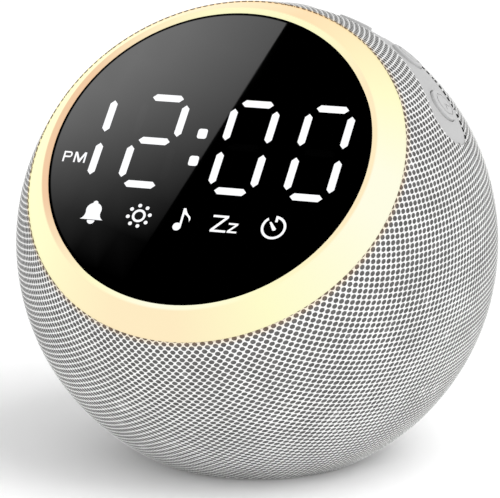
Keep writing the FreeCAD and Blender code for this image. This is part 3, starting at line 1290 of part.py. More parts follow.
def make_wires():
    """Two speaker leads, two power leads and the display's ribbon cable."""
    rim = SPEAKER_REAR_RADIUS + SPEAKER_BASKET_WALL
    rim_y = (BASKET_REAR + PLATE_TOP) / 2.0
    leads = []
    for side in (-1, 1):
        start = socket_top(SPEAKER_SOCKET, side)
        x = SPEAKER_LEAD_X + side * LEAD_PITCH / 2.0
        rim_z = SPEAKER_LIFT - math.sqrt(rim ** 2 - (abs(x) - LEAD_RADIUS) ** 2)
        over_socket = start + V(0, 0, SPEAKER_LEAD_RISE)
        under_rim = V(x, rim_y, SPEAKER_LIFT - rim - SPEAKER_LEAD_DROP)
        end = V(x, rim_y, rim_z - CLEARANCE)
        leads.append(lead([start, over_socket, under_rim, end], SPEAKER_LEAD_BEND))
    write("speaker_leads", leads)

    turn = FreeCAD.Rotation(X_AXIS, PORT_LATITUDE)
    leads = []
    for side in (-1, 1):
        start = socket_top(POWER_SOCKET, side)
        end = turn.multVec(V(start.x, PORT_BOARD_END, PORT_BOARD_Y))
        before_end = turn.multVec(V(start.x, PORT_BOARD_END - POWER_LEAD_RISE, PORT_BOARD_Y))
        over_socket = start + V(0, 0, POWER_LEAD_RISE)
        leads.append(lead([start, over_socket, before_end, end], POWER_LEAD_BEND))
    write("power_leads", leads)

    plug = face_point(0, PLUG_Y, SEAT_HEIGHT - PLUG_SIZE[2])
    below_plug = face_point(0, PLUG_Y, SEAT_HEIGHT - PLUG_SIZE[2] - RIBBON_DROP)
    socket = socket_top(RIBBON_SOCKET)
    path = rounded_path([plug, below_plug, socket + V(0, 0, RIBBON_RISE), socket], RIBBON_BEND)
    tangent = (below_plug - plug).normalize()
    thick = tangent.cross(X_AXIS).normalize() * (RIBBON_THICKNESS / 2.0)
    wide = X_AXIS * (RIBBON_WIDTH / 2.0)
    corners = [plug + wide + thick, plug - wide + thick, plug - wide - thick, plug + wide - thick]
    outline = Part.makePolygon(corners + corners[:1])
    write("display_ribbon", [swept(path, outline)])


os.makedirs("parts", exist_ok=True)
make_strip_group()
make_display_group()
make_ring_group()
make_speaker_frame()
make_speaker_motor()
make_speaker_cone()
make_speaker_screws()
make_port_group()
make_front_shell()
make_rear_shell()
make_cloth()
make_base_group()
make_main_board()
make_wires()
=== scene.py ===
# %% [markdown]
# # A ball-shaped alarm clock, dressed in Blender
#
# The clock's frame comes from CAD: its shells, ring, lens, keys and everything inside are already solids with
# their real sizes. Here they get their finishes, and the mesh cloth, which CAD only has as a plain skin, is made
# thread by thread. Each step below first says what the piece is on the real clock and why it is made this way.

# %% Load the frame
import math

import bmesh
import bpy
import numpy as np
from mathutils import Matrix, Vector


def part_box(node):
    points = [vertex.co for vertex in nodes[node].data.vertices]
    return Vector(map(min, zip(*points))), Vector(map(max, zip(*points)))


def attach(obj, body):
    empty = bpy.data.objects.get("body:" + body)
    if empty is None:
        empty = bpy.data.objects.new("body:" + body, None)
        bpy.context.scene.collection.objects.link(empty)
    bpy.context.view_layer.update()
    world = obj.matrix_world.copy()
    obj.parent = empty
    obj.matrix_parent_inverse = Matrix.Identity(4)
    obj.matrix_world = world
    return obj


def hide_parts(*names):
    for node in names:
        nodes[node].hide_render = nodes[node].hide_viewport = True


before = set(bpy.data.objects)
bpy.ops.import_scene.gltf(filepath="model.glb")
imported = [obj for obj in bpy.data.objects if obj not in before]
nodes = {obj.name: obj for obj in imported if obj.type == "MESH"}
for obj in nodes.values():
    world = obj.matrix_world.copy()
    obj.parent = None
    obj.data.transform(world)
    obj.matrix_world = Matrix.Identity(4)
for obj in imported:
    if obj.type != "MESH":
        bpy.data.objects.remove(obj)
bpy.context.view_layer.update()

# %% [markdown]
# ## Where things are
#
# The clock is a ball of 53 mm radius that is cut flat underneath. Three directions matter for nearly every step:
# the way the display faces, the way up the display, and the way the key strip runs behind it. It is easier to
# work in millimetres from the ball's centre and to move each finished mesh to its place once, at the end.

# %% Directions and sizes, in millimetres from the ball's centre
MM = 0.001
BALL = 53.0
CENTRE = Vector((0.0, 0.0, 47.137))
TILT = math.radians(49.2)
FACE = np.array([0.0, -math.sin(TILT), math.cos(TILT)])
FACE_UP = np.array([0.0, math.cos(TILT), math.sin(TILT)])
RING_EDGE = 32.90
RING_HOLE = 41.50
LENS_HEIGHT = 38.114
BASE_PLANE = -46.787
BASE_INNER_RIM = 23.05
print("display faces", [round(float(x), 3) for x in FACE])

# %% [markdown]
# ## The camera
#
# A long lens from a little above and to the right keeps the ball nearly round, as product pictures do. The camera
# is put in place first, because the cloth's seam is laid where a buyer doesn't see it from the front.

# %% Camera
TURN = math.radians(21.343)
RISE = math.radians(13.056)
BACK = np.array([math.sin(TURN) * math.cos(RISE), -math.cos(TURN) * math.cos(RISE), math.sin(RISE)])
RIGHT = np.array([math.cos(TURN), math.sin(TURN), 0.0])
UP = np.cross(BACK, RIGHT)
EYE = -(0.0297 * RIGHT + 0.0289 * UP - 11.623 * BACK) * BALL

lens_data = bpy.data.cameras.new("camera")
lens_data.lens = 201.25
lens_data.sensor_width = 36.0
lens_data.clip_end = 20.0
camera = bpy.data.objects.new("camera", lens_data)
bpy.context.scene.collection.objects.link(camera)
turn_matrix = Matrix((RIGHT, UP, BACK)).transposed().to_4x4()
camera.matrix_world = Matrix.Translation((Vector(EYE) + CENTRE) * MM) @ turn_matrix
bpy.context.scene.camera = camera
print("camera", round(float(np.linalg.norm(EYE)) * MM, 3), "m from the ball's centre")

# %% [markdown]
# ## Building blocks for finishes
#
# Every finish starts from one Principled shader. Colour that is the same all over is typed into the shader's own
# socket. What varies, such as a faint mottle in moulded plastic or the grain that catches light, comes from noise
# read in Object coordinates, which stay put on the piece when it moves.

# %% A new finish
def new_finish(name, colour, roughness, metallic=0.0):
    finish = bpy.data.materials.new(name)
    finish.use_nodes = True
    shader = finish.node_tree.nodes["Principled BSDF"]
    shader.inputs["Base Color"].default_value = (*colour, 1.0)
    shader.inputs["Roughness"].default_value = roughness
    shader.inputs["Metallic"].default_value = metallic
    finish.diffuse_color = (*colour, 1.0)
    return finish


def shader_of(finish):
    return finish.node_tree.nodes["Principled BSDF"]


def add_node(finish, kind, **settings):
    node = finish.node_tree.nodes.new(kind)
    for key, value in settings.items():
        setattr(node, key, value)
    return node


def join(finish, output, target):
    finish.node_tree.links.new(output, target)


def noise(finish, size, detail=3.0):
    """Noise whose features are about size millimetres across."""
    where = add_node(finish, "ShaderNodeTexCoord")
    texture = add_node(finish, "ShaderNodeTexNoise")
    texture.inputs["Scale"].default_value = 1.0 / (size * MM)
    texture.inputs["Detail"].default_value = detail
    join(finish, where.outputs["Object"], texture.inputs["Vector"])
    return texture.outputs["Fac"]


print("finish helpers ready")

# %% Mottle, grain and uneven gloss
def ramp(finish, value, stops):
    """A colour ramp with (position, colour) stops."""
    node = add_node(finish, "ShaderNodeValToRGB")
    elements = node.color_ramp.elements
    while len(elements) < len(stops):
        elements.new(0.5)
    for element, (position, colour) in zip(elements, stops):
        element.position = position
        element.color = (*colour, 1.0)
    join(finish, value, node.inputs["Fac"])
    return node.outputs["Color"]


def scaled(colour, share):
    return tuple(min(1.0, channel * share) for channel in colour)


def mottle(finish, size, colour, spread):
    """The colour wanders a little lighter and darker across the piece."""
    cloud = noise(finish, size)
    shade = ramp(finish, cloud, [(0.3, scaled(colour, 1.0 - spread)), (0.7, scaled(colour, 1.0 + spread))])
    join(finish, shade, shader_of(finish).inputs["Base Color"])


def bumpy(finish, height, strength, distance):
    bump = add_node(finish, "ShaderNodeBump")
    bump.inputs["Strength"].default_value = strength
    bump.inputs["Distance"].default_value = distance * MM
    join(finish, height, bump.inputs["Height"])
    join(finish, bump.outputs["Normal"], shader_of(finish).inputs["Normal"])


def uneven_gloss(finish, size, low, high):
    spread = add_node(finish, "ShaderNodeMapRange")
    spread.inputs["To Min"].default_value = low
    spread.inputs["To Max"].default_value = high
    join(finish, noise(finish, size), spread.inputs["Value"])
    join(finish, spread.outputs["Result"], shader_of(finish).inputs["Roughness"])


print("mottle, grain and gloss helpers ready")

# %% Face coordinates inside a finish
def face_coordinates(finish):
    """x to the display's right, y up the display and z out of it, in metres from the ball's centre."""
    where = add_node(finish, "ShaderNodeTexCoord")
    turn = add_node(finish, "ShaderNodeMapping")
    turn.inputs["Rotation"].default_value = (-TILT, 0.0, 0.0)
    height = CENTRE.z * MM
    turn.inputs["Location"].default_value = (0.0, -height * math.sin(TILT), -height * math.cos(TILT))
    join(finish, where.outputs["Object"], turn.inputs["Vector"])
    apart = add_node(finish, "ShaderNodeSeparateXYZ")
    join(finish, turn.outputs["Vector"], apart.inputs["Vector"])
    return apart.outputs


def maths(finish, operation, a, b=None):
    node = add_node(finish, "ShaderNodeMath", operation=operation)
    for socket, value in zip(node.inputs, (a, b)):
        if isinstance(value, (int, float)):
            socket.default_value = value
        elif value is not None:
            join(finish, value, socket)
    return node.outputs[0]


def around(finish, x, y):
    """0 at the left, through the bottom, right and top, to 1 at the left again."""
    turns = maths(finish, "MULTIPLY", maths(finish, "ARCTAN2", y, x), 0.5 / math.pi)
    return maths(finish, "ADD", turns, 0.5)


def out_from_middle(finish, x, y):
    squares = maths(finish, "ADD", maths(finish, "MULTIPLY", x, x), maths(finish, "MULTIPLY", y, y))
    return maths(finish, "SQRT", squares)


def step_at(finish, value, start, end, low=0.0, high=1.0):
    """From low to high as value goes from start to end, in millimetres."""
    node = add_node(finish, "ShaderNodeMapRange")
    for name, number in (("From Min", start * MM), ("From Max", end * MM), ("To Min", low), ("To Max", high)):
        node.inputs[name].default_value = number
    join(finish, value, node.inputs["Value"])
    return node.outputs["Result"]


print("face coordinates ready")

# %% Dress a CAD piece
dressed = set()


def dress(finish, *names):
    """Give CAD pieces a finish through their own material slots."""
    for name in names:
        for slot in nodes[name].material_slots:
            slot.material = finish
        if not nodes[name].material_slots:
            nodes[name].data.materials.append(finish)
        dressed.add(name)


print("ready to dress", len(nodes), "pieces")

# %% [markdown]
# ## Mesh cloth: how it lies
#
# The cover is a white diamond-mesh knit, pulled over the ball as a sleeve whose axis leaves through the middle of
# the display. Round the axis the holes are counted, 165 at the widest place, and they narrow towards both ends;
# along the axis the stretchy knit gives way, so the rows stand further apart near the ring. The back is a second
# panel of the same knit, laid flat against the ball's back and kept even along its radius. A hole's place is
# worked out from two counts, a and b, that run along the two sets of crossing threads.

# %% From thread counts to places on the ball
HOLES_ROUND = 165
ACROSS = 2.0 * math.pi * BALL / HOLES_ROUND
ALONG = 1.516
GIVE = 0.119
EVEN_BELOW = -0.61
rows_reach = np.linspace(-1.4, 1.2, 400)
giving = np.maximum(rows_reach, EVEN_BELOW)
rows_laid = giving - GIVE * giving ** 3 + (rows_reach - giving) * (1.0 - 3.0 * GIVE * EVEN_BELOW ** 2)


def unit(vector):
    return np.asarray(vector, float) / np.linalg.norm(vector)


def sleeve(axis):
    """A function from thread counts (a, b) to directions from the ball's centre, for a sleeve round an axis."""
    front = unit(BACK - (BACK @ axis) * axis)
    side = np.cross(axis, front)

    def direction(a, b):
        turn = (a - b) * math.pi / HOLES_ROUND
        row = (a + b) * ALONG / 2.0 / BALL
        rise = np.interp(row, rows_laid, rows_reach)
        out = np.outer(np.sin(rise), axis)
        out = out + (np.cos(rise) * np.cos(turn))[:, None] * front + (np.cos(rise) * np.sin(turn))[:, None] * side
        out[(row >= rows_laid.max()) | (row <= rows_laid.min())] = np.nan
        return out

    return direction


def patch(pole):
    """The same for a flat piece laid on the ball around a pole."""
    side = unit(np.cross([0.0, 0.0, 1.0], pole))
    other = np.cross(pole, side)

    def direction(a, b):
        x, y = (a - b) * ACROSS / 2.0, (a + b) * ALONG / 2.0
        far = np.maximum(np.hypot(x, y), 1e-9)
        r = far / BALL
        out = np.outer(np.cos(r), pole)
        out = out + (np.sin(r) * x / far)[:, None] * side + (np.sin(r) * y / far)[:, None] * other
        out[r >= math.pi] = np.nan
        return out

    return direction


FRONT_AXIS = unit((-0.029, -0.704, 0.710))
REAR_AXIS = unit((0.0, 0.0, 1.0))
front_knit = sleeve(FRONT_AXIS)
rear_knit = patch(np.array([0.0, 1.0, 0.0]))
print("holes", round(ACROSS, 2), "mm across and", ALONG, "mm along")

# %% [markdown]
# ## Mesh cloth: where it stops
#
# The cloth ends at five places: under the glowing ring, around the key strip, at the flat base, around the power
# socket, and at the seam between the two panels. Each test below says how far a direction is inside the cloth.

# %% The cloth's edges
STRIP_POLAR = 69.0
STRIP_HALF = 6.865
STRIP_END = 61.37
SEAM_WAY = np.array([0.0, -1.0, 0.0])
SEAM = -21.2
PORT_OUT = np.array([0.0, math.cos(math.radians(19)), -math.sin(math.radians(19))])
PORT_UP = np.array([0.0, math.sin(math.radians(19)), math.cos(math.radians(19))])
PORT_HALF = (7.1, 3.9)
PORT_CORNER = 2.0


def strip_direction(azimuth, polar=STRIP_POLAR):
    a, p = math.radians(azimuth), math.radians(polar)
    flat = math.sin(p) * math.sin(a) * np.array([1.0, 0.0, 0.0]) + math.sin(p) * math.cos(a) * FACE_UP
    return flat + math.cos(p) * FACE


strip_ends = [strip_direction(-STRIP_END), strip_direction(STRIP_END)]


def in_strip(d, grow=0.0):
    polar = np.degrees(np.arccos(np.clip(d @ FACE, -1, 1)))
    azimuth = np.degrees(np.arctan2(d[:, 0], d @ FACE_UP))
    band = (abs(polar - STRIP_POLAR) < STRIP_HALF + grow) & (abs(azimuth) < STRIP_END)
    near_end = [d @ end > math.cos(math.radians(STRIP_HALF + grow)) for end in strip_ends]
    return band | near_end[0] | near_end[1]


def in_port(d, grow=0.0):
    x, y = np.abs(d[:, 0] * BALL), np.abs(d @ PORT_UP * BALL)
    return (x < PORT_HALF[0] + grow) & (y < PORT_HALF[1] + grow) & (d @ PORT_OUT > 0)


def on_clock(d, margin):
    """True where a cell's middle is on the cloth, or within margin millimetres of it."""
    sound = np.isfinite(d[:, 0])
    d = np.nan_to_num(d)
    clear = (d @ FACE * BALL < RING_EDGE + margin) & (d[:, 2] * BALL > BASE_PLANE - margin)
    clear &= ~in_strip(d, -math.degrees(margin / BALL)) & ~in_port(d, -margin)
    return sound & clear


print("seam plane", round(SEAM, 2), "mm from the centre")

# %% [markdown]
# ## Mesh cloth: cells
#
# Each cell of the knit is one eight-sided face: four crossings of threads and the four middles between them.
# Neighbours share their points, so the net has no gaps. Only these plain cells are made in Python; what happens
# inside each cell is the same everywhere, which is a job for Geometry Nodes.

# %% Make the cells
STEPS = ((0, 0), (1, 0), (2, 0), (2, 1), (2, 2), (1, 2), (0, 2), (0, 1))
MARGIN = 0.9


def find_cells(direction, wanted, reach=140):
    """Cells whose middles are wanted; no more than once round the sleeve."""
    span = np.arange(-reach, reach)
    i, j = (grid.ravel() for grid in np.meshgrid(span, span, indexing="ij"))
    middle = direction(i + 0.5, j + 0.5)
    once = (i - j > -HOLES_ROUND) & (i - j <= HOLES_ROUND)
    kept = once & on_clock(middle, MARGIN) & wanted(np.nan_to_num(middle))
    return np.stack([i[kept], j[kept]], axis=1), middle[kept]


def cell_mesh(name, direction, cells):
    """Eight-sided cells on the ball; crossings carry corner = 1."""
    keys = (2 * cells[:, None, :] + np.array(STEPS)[None]).reshape(-1, 2)
    places, index = np.unique(keys, axis=0, return_inverse=True)
    points = direction(places[:, 0] / 2.0, places[:, 1] / 2.0) * BALL
    index = index.reshape(-1, 8)
    a, b, c = (points[index[0, k]] for k in (0, 2, 4))
    if np.dot(np.cross(b - a, c - b), a) < 0:
        index = index[:, ::-1]
    mesh = bpy.data.meshes.new(name)
    mesh.from_pydata(points.tolist(), [], index.tolist())
    corner = mesh.attributes.new("corner", "FLOAT", "POINT")
    corner.data.foreach_set("value", (places % 2 == 0).all(axis=1).astype(np.float32))
    return mesh


front_cells, front_middles = find_cells(front_knit, lambda d: d @ SEAM_WAY * BALL > SEAM - MARGIN)
rear_cells, rear_middles = find_cells(rear_knit, lambda d: d @ SEAM_WAY * BALL < SEAM + MARGIN)
print(len(front_cells), "front cells and", len(rear_cells), "rear cells")

# %% [markdown]
# ## Mesh cloth: the hole in each cell
#
# The tree pulls a copy of each face towards its own middle, which leaves a ribbon of thread around a hole, and
# pulls the crossings in further than the straight stretches, so the hole has no corners. A stretched knit opens
# more across than along, so the crossings at the two sides of a hole are pulled in less than those above and below
# it, which makes each hole a lying oval. The rim of the hole is pressed in a hair, so each thread has a ridge, and
# then the copy sinks down to the dark foam under the knit. Depth is worth its faces here: it is what makes the
# cloth flicker as you walk around it, where a printed pattern would lie flat.

# %% Geometry Nodes: open mesh
def tree_input(tree, name, kind, value):
    socket = tree.interface.new_socket(name, in_out="INPUT", socket_type=kind)
    if value is not None:
        socket.default_value = value
    return socket.identifier


def start_tree(name):
    tree = bpy.data.node_groups.new(name, "GeometryNodeTree")
    tree.interface.new_socket("Geometry", in_out="INPUT", socket_type="NodeSocketGeometry")
    tree.interface.new_socket("Geometry", in_out="OUTPUT", socket_type="NodeSocketGeometry")
    return tree, tree.nodes.new("NodeGroupInput"), tree.nodes.new("NodeGroupOutput")


def vector_math(tree, operation, a, b=None, scale=None):
    node = tree.nodes.new("ShaderNodeVectorMath")
    node.operation = operation
    tree.links.new(a, node.inputs[0])
    if b is not None:
        tree.links.new(b, node.inputs[1])
    if scale is not None:
        tree.links.new(scale, node.inputs["Scale"])
    return node.outputs["Vector"]


def mesh_tree(thread, foam):
    tree, source, result = start_tree("open mesh")
    names = {name: tree_input(tree, name, "NodeSocketFloat", value) for name, value in
             (("Half thread", 0.085), ("Most pull", 0.45), ("Crossing pull", 0.365), ("Hole stretch", 0.085),
              ("Unevenness", 0.16), ("Thread round", 0.03), ("Depth share", 0.10))}
    names["Axis"] = tree_input(tree, "Axis", "NodeSocketVector", (0.0, 0.0, 1.0))
    link = tree.links.new
    position = tree.nodes.new("GeometryNodeInputPosition").outputs["Position"]
    keep = tree.nodes.new("GeometryNodeCaptureAttribute")
    keep.domain = "FACE"
    keep.capture_items.new("VECTOR", "middle")
    keep.capture_items.new("FLOAT", "size")
    width = tree.nodes.new("ShaderNodeMath")
    width.operation = "SQRT"
    link(tree.nodes.new("GeometryNodeInputMeshFaceArea").outputs["Area"], width.inputs[0])
    link(source.outputs["Geometry"], keep.inputs["Geometry"])
    link(position, keep.inputs["middle"])
    link(width.outputs[0], keep.inputs["size"])
    lift = tree.nodes.new("GeometryNodeExtrudeMesh")
    lift.inputs["Offset Scale"].default_value = 0.0
    link(keep.outputs["Geometry"], lift.inputs["Mesh"])
    corner = tree.nodes.new("GeometryNodeInputNamedAttribute")
    corner.inputs["Name"].default_value = "corner"
    apart = tree.nodes.new("ShaderNodeVectorMath")
    apart.operation = "DISTANCE"
    link(position, apart.inputs[0])
    link(keep.outputs["middle"], apart.inputs[1])
    ribbon = tree.nodes.new("ShaderNodeMath")
    ribbon.operation = "DIVIDE"
    link(source.outputs["Half thread"], ribbon.inputs[0])
    link(apart.outputs["Value"], ribbon.inputs[1])
    straight = tree.nodes.new("ShaderNodeMath")
    straight.operation = "MINIMUM"
    link(ribbon.outputs[0], straight.inputs[0])
    link(source.outputs["Most pull"], straight.inputs[1])
    across = vector_math(tree, "CROSS_PRODUCT", source.outputs["Axis"], keep.outputs["middle"])
    arm = vector_math(tree, "SUBTRACT", position, keep.outputs["middle"])
    along_across = tree.nodes.new("ShaderNodeVectorMath")
    along_across.operation = "DOT_PRODUCT"
    link(vector_math(tree, "NORMALIZE", across), along_across.inputs[0])
    link(vector_math(tree, "NORMALIZE", arm), along_across.inputs[1])
    square = tree.nodes.new("ShaderNodeMath")
    square.operation = "MULTIPLY"
    link(along_across.outputs["Value"], square.inputs[0])
    link(along_across.outputs["Value"], square.inputs[1])
    sideways = tree.nodes.new("ShaderNodeMath")
    sideways.operation = "MULTIPLY_ADD"
    sideways.inputs[1].default_value = -2.0
    sideways.inputs[2].default_value = 1.0
    link(square.outputs[0], sideways.inputs[0])
    crossing = tree.nodes.new("ShaderNodeMath")
    crossing.operation = "MULTIPLY_ADD"
    link(sideways.outputs[0], crossing.inputs[0])
    link(source.outputs["Hole stretch"], crossing.inputs[1])
    link(source.outputs["Crossing pull"], crossing.inputs[2])
    pull = tree.nodes.new("ShaderNodeMix")
    link(corner.outputs["Attribute"], pull.inputs[0])
    link(straight.outputs[0], pull.inputs[2])
    link(crossing.outputs[0], pull.inputs[3])
    cloud = tree.nodes.new("ShaderNodeTexNoise")
    cloud.inputs["Scale"].default_value = 0.09
    link(keep.outputs["middle"], cloud.inputs["Vector"])
    centred = tree.nodes.new("ShaderNodeMath")
    centred.operation = "SUBTRACT"
    centred.inputs[1].default_value = 0.5
    link(cloud.outputs["Fac"], centred.inputs[0])
    wander = tree.nodes.new("ShaderNodeMath")
    wander.operation = "MULTIPLY_ADD"
    link(centred.outputs[0], wander.inputs[0])
    link(source.outputs["Unevenness"], wander.inputs[1])
    link(pull.outputs[0], wander.inputs[2])
    towards = tree.nodes.new("ShaderNodeMix")
    towards.data_type = "VECTOR"
    link(wander.outputs[0], towards.inputs[0])
    link(position, towards.inputs[4])
    link(keep.outputs["middle"], towards.inputs[5])
    outward = vector_math(tree, "NORMALIZE", position)
    down = tree.nodes.new("ShaderNodeMath")
    down.operation = "MULTIPLY"
    down.inputs[1].default_value = -1.0
    link(source.outputs["Thread round"], down.inputs[0])
    place = tree.nodes.new("GeometryNodeSetPosition")
    link(lift.outputs["Mesh"], place.inputs["Geometry"])
    link(lift.outputs["Top"], place.inputs["Selection"])
    link(towards.outputs[1], place.inputs["Position"])
    link(vector_math(tree, "SCALE", outward, scale=down.outputs[0]), place.inputs["Offset"])
    sink = tree.nodes.new("GeometryNodeExtrudeMesh")
    share = tree.nodes.new("ShaderNodeMath")
    share.operation = "MULTIPLY"
    link(source.outputs["Depth share"], share.inputs[0])
    link(keep.outputs["size"], share.inputs[1])
    deep = tree.nodes.new("ShaderNodeMath")
    deep.operation = "MULTIPLY"
    deep.inputs[1].default_value = -1.0
    link(share.outputs[0], deep.inputs[0])
    link(place.outputs["Geometry"], sink.inputs["Mesh"])
    link(lift.outputs["Top"], sink.inputs["Selection"])
    link(outward, sink.inputs["Offset"])
    link(deep.outputs[0], sink.inputs["Offset Scale"])
    smooth = tree.nodes.new("GeometryNodeSetShadeSmooth")
    link(sink.outputs["Mesh"], smooth.inputs["Geometry"])
    real = tree.nodes.new("GeometryNodeRealizeInstances")
    link(smooth.outputs["Geometry"], real.inputs["Geometry"])
    threads = tree.nodes.new("GeometryNodeSetMaterial")
    threads.inputs["Material"].default_value = thread
    link(real.outputs["Geometry"], threads.inputs["Geometry"])
    # The hole walls get the dark foam finish as well as the floors: partly the foam layer, partly painted shade on
    # the threads' sides.
    walls_and_floors = tree.nodes.new("GeometryNodeSetMaterial")
    walls_and_floors.inputs["Material"].default_value = foam
    inside = tree.nodes.new("FunctionNodeBooleanMath")
    inside.operation = "OR"
    link(sink.outputs["Top"], inside.inputs[0])
    link(sink.outputs["Side"], inside.inputs[1])
    link(threads.outputs["Geometry"], walls_and_floors.inputs["Geometry"])
    link(inside.outputs[0], walls_and_floors.inputs["Selection"])
    link(walls_and_floors.outputs["Geometry"], result.inputs["Geometry"])
    return tree, names


print("open mesh tree ready")

# %% [markdown]
# ## Mesh cloth: its two finishes
#
# The thread is white polyester: matt, a little fuzzy, twisted finely enough that only a faint roughness of the
# light tells. The floor of each hole is grey foam, and no two holes catch quite the same light, so its grey
# wanders from hole to hole. Sheen is left low: it would turn the whole ball chalky at its rim. Three places
# differ. Light leaks out under the glowing ring and warms the last row of holes; this glow is painted into both
# finishes, which turn warmer with the height up the display's axis. Here and there a small patch of both finishes
# is painted lighter, a painted glint. And behind the key strip the cloth bridges a gap with no foam in it, so the
# holes along that edge are painted black, a painted shade of the empty gap.

# %% Thread and foam
THREAD = (0.90, 0.90, 0.895)
FOAM = (0.138, 0.136, 0.134)


def blended(finish, share, first, second):
    """A mix of two colours; either may be a colour socket."""
    node = add_node(finish, "ShaderNodeMix", data_type="RGBA")
    join(finish, share, node.inputs[0])
    for socket, colour in ((node.inputs[6], first), (node.inputs[7], second)):
        if isinstance(colour, tuple):
            socket.default_value = (*colour, 1.0)
        else:
            join(finish, colour, socket)
    return node.outputs[2]


def cloth_finish(name, colour, size, spread, ring_glow_colour, roughness, gloss):
    finish = new_finish(name, colour, roughness)
    shader_of(finish).inputs["Specular IOR Level"].default_value = gloss
    plain = ramp(finish, noise(finish, size), [(0.3, scaled(colour, 1.0 - spread)), (0.7, scaled(colour, 1.0 + spread))])
    # Painted glint: small patches of the knit are painted lighter, as if the threads caught the light there.
    glint_patches = ramp(finish, noise(finish, 4.5, 1.0), [(0.67, (0.0, 0.0, 0.0)), (0.75, (1.0, 1.0, 1.0))])
    plain = blended(finish, glint_patches, plain, scaled(colour, 1.0 + 3.0 * spread))
    _, up, out = face_coordinates(finish)
    # Painted glow: both finishes are painted warmer near the lit ring, as its light would fall on them.
    ring_glow_share = step_at(finish, out, RING_EDGE - 1.0, RING_EDGE + 0.2)
    return finish, blended(finish, ring_glow_share, plain, ring_glow_colour), up, out


thread_finish, thread_colour, _, _ = cloth_finish("white_knit_thread", THREAD, 6.0, 0.05, (0.90, 0.80, 0.64), 0.78, 0.25)
join(thread_finish, thread_colour, shader_of(thread_finish).inputs["Base Color"])
bumpy(thread_finish, noise(thread_finish, 0.16, 2.0), 0.5, 0.04)
shader_of(thread_finish).inputs["Sheen Weight"].default_value = 0.08

foam_finish, foam_colour, up, out = cloth_finish("grey_foam_under_knit", FOAM, 1.4, 0.22, (0.215, 0.150, 0.105), 0.85, 0.2)
# Painted shade: holes just past the key strip's edge are painted near-black, for the shade in the empty gap behind
# it.
GAP_TOP = BALL * math.cos(math.radians(75.6))
painted_gap_shade = maths(foam_finish, "MULTIPLY", step_at(foam_finish, out, GAP_TOP - 1.5, GAP_TOP - 1.3),
            step_at(foam_finish, out, GAP_TOP + 0.2, GAP_TOP, 0.0, 1.0))
painted_gap_shade = maths(foam_finish, "MULTIPLY", painted_gap_shade, step_at(foam_finish, up, 21.0, 22.0))
join(foam_finish, blended(foam_finish, painted_gap_shade, foam_colour, (0.008, 0.008, 0.008)),
     shader_of(foam_finish).inputs["Base Color"])
print("cloth finishes ready")

# %% Bake a tree's result into a plain mesh
def bake(obj, tree, values):
    """Run a tree on an object once, and return the result as a mesh of its own."""
    modifier = obj.modifiers.new("nodes", "NODES")
    modifier.node_group = tree
    for identifier, value in values.items():
        modifier[identifier] = value
    bpy.context.view_layer.update()
    evaluated = obj.evaluated_get(bpy.context.evaluated_depsgraph_get())
    mesh = bpy.data.meshes.new_from_object(evaluated)
    bpy.data.objects.remove(obj)
    return mesh


def stand(name, mesh):
    obj = bpy.data.objects.new(name, mesh)
    bpy.context.scene.collection.objects.link(obj)
    return obj


def to_place(mesh):
    """From millimetres about the ball's centre to metres in the clock's own frame."""
    mesh.transform(Matrix.Scale(MM, 4) @ Matrix.Translation(CENTRE))
    mesh.update()


def count_triangles(mesh):
    mesh.calc_loop_triangles()
    return len(mesh.loop_triangles)


open_mesh, mesh_inputs = mesh_tree(thread_finish, foam_finish)
print("inputs of the open mesh tree:", ", ".join(mesh_inputs))

# %% [markdown]
# ## Mesh cloth: cutting out
#
# Scissors don't follow the holes, and neither does this step: the baked net is cut along the exact outlines, so
# holes at the ring and the strip are cut through as they are in real cloth. A flat cut is a plane through the
# ball. The strip's long edges and round ends are circles on the ball, which are planes too.

# %% Cutting tools
def cut(bm, point, normal, faces=None, clear=True):
    """Cut with a plane. With clear, what lies beyond it, along normal, is thrown away."""
    faces = list(bm.faces) if faces is None else faces
    edges = {edge for face in faces for edge in face.edges}
    points = {vert for face in faces for vert in face.verts}
    bmesh.ops.bisect_plane(bm, geom=list(points) + list(edges) + faces, dist=1e-5,
                           plane_co=Vector(point), plane_no=Vector(normal), clear_outer=clear)


def middles(faces):
    return np.array([face.calc_center_median() for face in faces]).reshape(-1, 3)


def drop(bm, inside):
    faces = list(bm.faces)
    d = middles(faces)
    d = d / np.linalg.norm(d, axis=1)[:, None]
    gone = [face for face, out in zip(faces, inside(d)) if out]
    bmesh.ops.delete(bm, geom=gone, context="FACES")


def near(bm, test):
    faces = list(bm.faces)
    d = middles(faces)
    if not len(d):
        return []
    d = d / np.linalg.norm(d, axis=1)[:, None]
    return [face for face, close in zip(faces, test(d)) if close]


print("cutting tools ready")

# %% Cut out one panel
def cut_strip(bm):
    close = near(bm, lambda d: in_strip(d, 2.5))
    if not close:
        return
    for polar in (STRIP_POLAR - STRIP_HALF, STRIP_POLAR + STRIP_HALF):
        height = BALL * math.cos(math.radians(polar))
        cut(bm, FACE * height, FACE, near(bm, lambda d: in_strip(d, 2.5)), clear=False)
    for end in strip_ends:
        level = BALL * math.cos(math.radians(STRIP_HALF))
        rim = near(bm, lambda d: d @ end > math.cos(math.radians(STRIP_HALF + 2.5)))
        if rim:
            cut(bm, end * level, end, rim, clear=False)
    drop(bm, in_strip)


def port_planes():
    """Four sides and three flats around each corner, as (distance, direction) in the socket's plane."""
    side_x, side_y = PORT_HALF
    planes = []
    for step in range(16):
        angle = math.radians(22.5 * step)
        x, y = math.cos(angle), math.sin(angle)
        reach = (side_x - PORT_CORNER) * abs(x) + (side_y - PORT_CORNER) * abs(y) + PORT_CORNER
        planes.append((reach, x * np.array([1.0, 0, 0]) + y * PORT_UP))
    return planes


